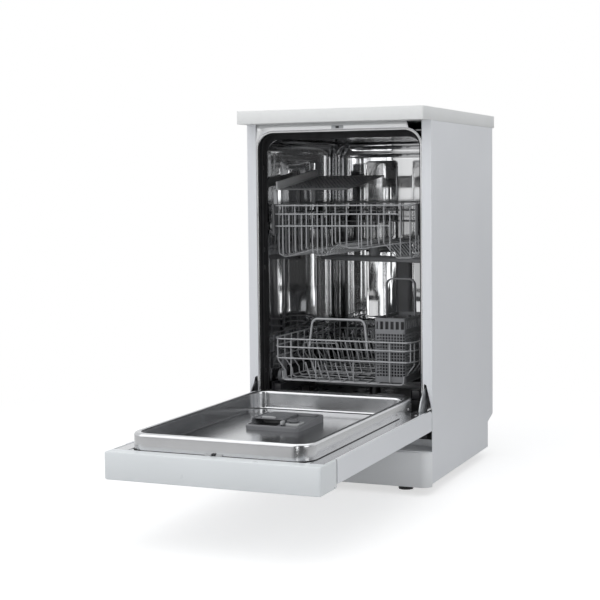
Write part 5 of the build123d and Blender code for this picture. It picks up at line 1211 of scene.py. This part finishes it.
def floor():
    """Pale floor that keeps the object's shadow and fades to white further out. In mirrors it glows brighter
    to the left and towards the machine: a painted reflection for the steel.
    """
    material = bpy.data.materials.new("pale_floor")
    tree = empty_tree(material)

    def stepped(value, start, end, low=0, high=1):
        """A smooth step between two levels, in metres along the value."""
        return node(tree, "ShaderNodeMapRange", {
            "Value": value, "From Min": start, "From Max": end, "To Min": low, "To Max": high,
        }, interpolation_type="SMOOTHSTEP").outputs["Result"]

    from_camera, seen = seen_rays(tree)
    spot = node(tree, "ShaderNodeTexCoord").outputs["Object"]
    sides = node(tree, "ShaderNodeSeparateXYZ", {"Vector": spot}).outputs
    # Painted reflection: strength of the floor's glow in mirror rays, brighter to the left and towards the
    # machine.
    reflected = calculated(tree, "MAXIMUM", stepped(sides["X"], 0.3, -0.4, 0.1, 0.75),
                           stepped(sides["Y"], -1.2, -0.7, 0.1, 0.6))
    strength = calculated(tree, "MAXIMUM", reflected, from_camera)
    lift = calculated(tree, "MULTIPLY", calculated(tree, "MULTIPLY", seen, strength), 0.62)
    matt = node(tree, "ShaderNodeBsdfDiffuse", {"Color": (0.58, 0.58, 0.58, 1)})
    glow = node(tree, "ShaderNodeEmission", {"Strength": lift})
    near = node(tree, "ShaderNodeAddShader", {0: matt.outputs[0], 1: glow.outputs[0]})
    white = node(tree, "ShaderNodeEmission", {"Strength": strength})
    distance = node(tree, "ShaderNodeVectorMath", {0: spot}, operation="LENGTH").outputs["Value"]
    far = calculated(tree, "MULTIPLY", stepped(distance, 0.65, 1.7), seen)
    node(tree, "ShaderNodeOutputMaterial", {"Surface": mixed(tree, far, near, white).outputs[0]})
    reach = 30
    mesh = bpy.data.meshes.new("floor")
    mesh.from_pydata([(-reach, -reach, 0), (reach, -reach, 0), (reach, reach, 0), (-reach, reach, 0)], [],
                     [(0, 1, 2, 3)])
    mesh.materials.append(material)
    new_object("floor", mesh)


def softbox(name, spot, aim, size, power):
    """A large soft lamp aimed at a point, in metres and watts."""
    light = bpy.data.lights.new(name, "AREA")
    light.shape = "RECTANGLE"
    light.size, light.size_y = size
    light.energy = power
    lamp = new_object(name, light)
    lamp.location = spot
    lamp.rotation_euler = (Vector(aim) - Vector(spot)).to_track_quat("-Z", "Y").to_euler()


def camera():
    """The photograph's view, found from the corners of the worktop, the sides and the open door."""
    yaw, pitch, roll, focal = -0.4028, 0.0613, -0.0102, 1393.74
    centre_across, centre_down = 289.41, 269.94
    picture, sensor = 600, 36
    ahead = Vector((math.sin(yaw) * math.cos(pitch), math.cos(yaw) * math.cos(pitch), -math.sin(pitch)))
    right = Vector((math.cos(yaw), -math.sin(yaw), 0))
    up = right.cross(ahead)
    level = math.cos(roll) * right + math.sin(roll) * up
    rise = -math.sin(roll) * right + math.cos(roll) * up
    lens = bpy.data.cameras.new("camera")
    lens.sensor_width = sensor
    lens.lens = focal * sensor / picture
    lens.shift_x = (picture / 2 - centre_across) / picture
    lens.shift_y = (centre_down - picture / 2) / picture
    view = new_object("camera", lens)
    turn = Matrix((level, rise, -ahead)).transposed()
    view.matrix_world = Matrix.Translation((1.1436, -2.8999, 0.6975)) @ turn.to_4x4()
    bpy.context.scene.camera = view


bpy.context.scene.view_settings.view_transform = "Standard"
studio_world()
floor()
softbox("key", (-1.6, -2.6, 2.4), (0, -0.1, 0.4), (4.4, 4.4), 67)
softbox("top", (0.2, 0.1, 3.0), (0, 0, 0.2), (3.4, 3.4), 30)
softbox("side", (2.9, -1.5, 1.2), (0.2, 0, 0.5), (1.3, 2.2), 16)
softbox("strip", (0.86, -2.95, 0.6), (0, 0.3, 0.5), (0.28, 1.2), 4.8)
camera()
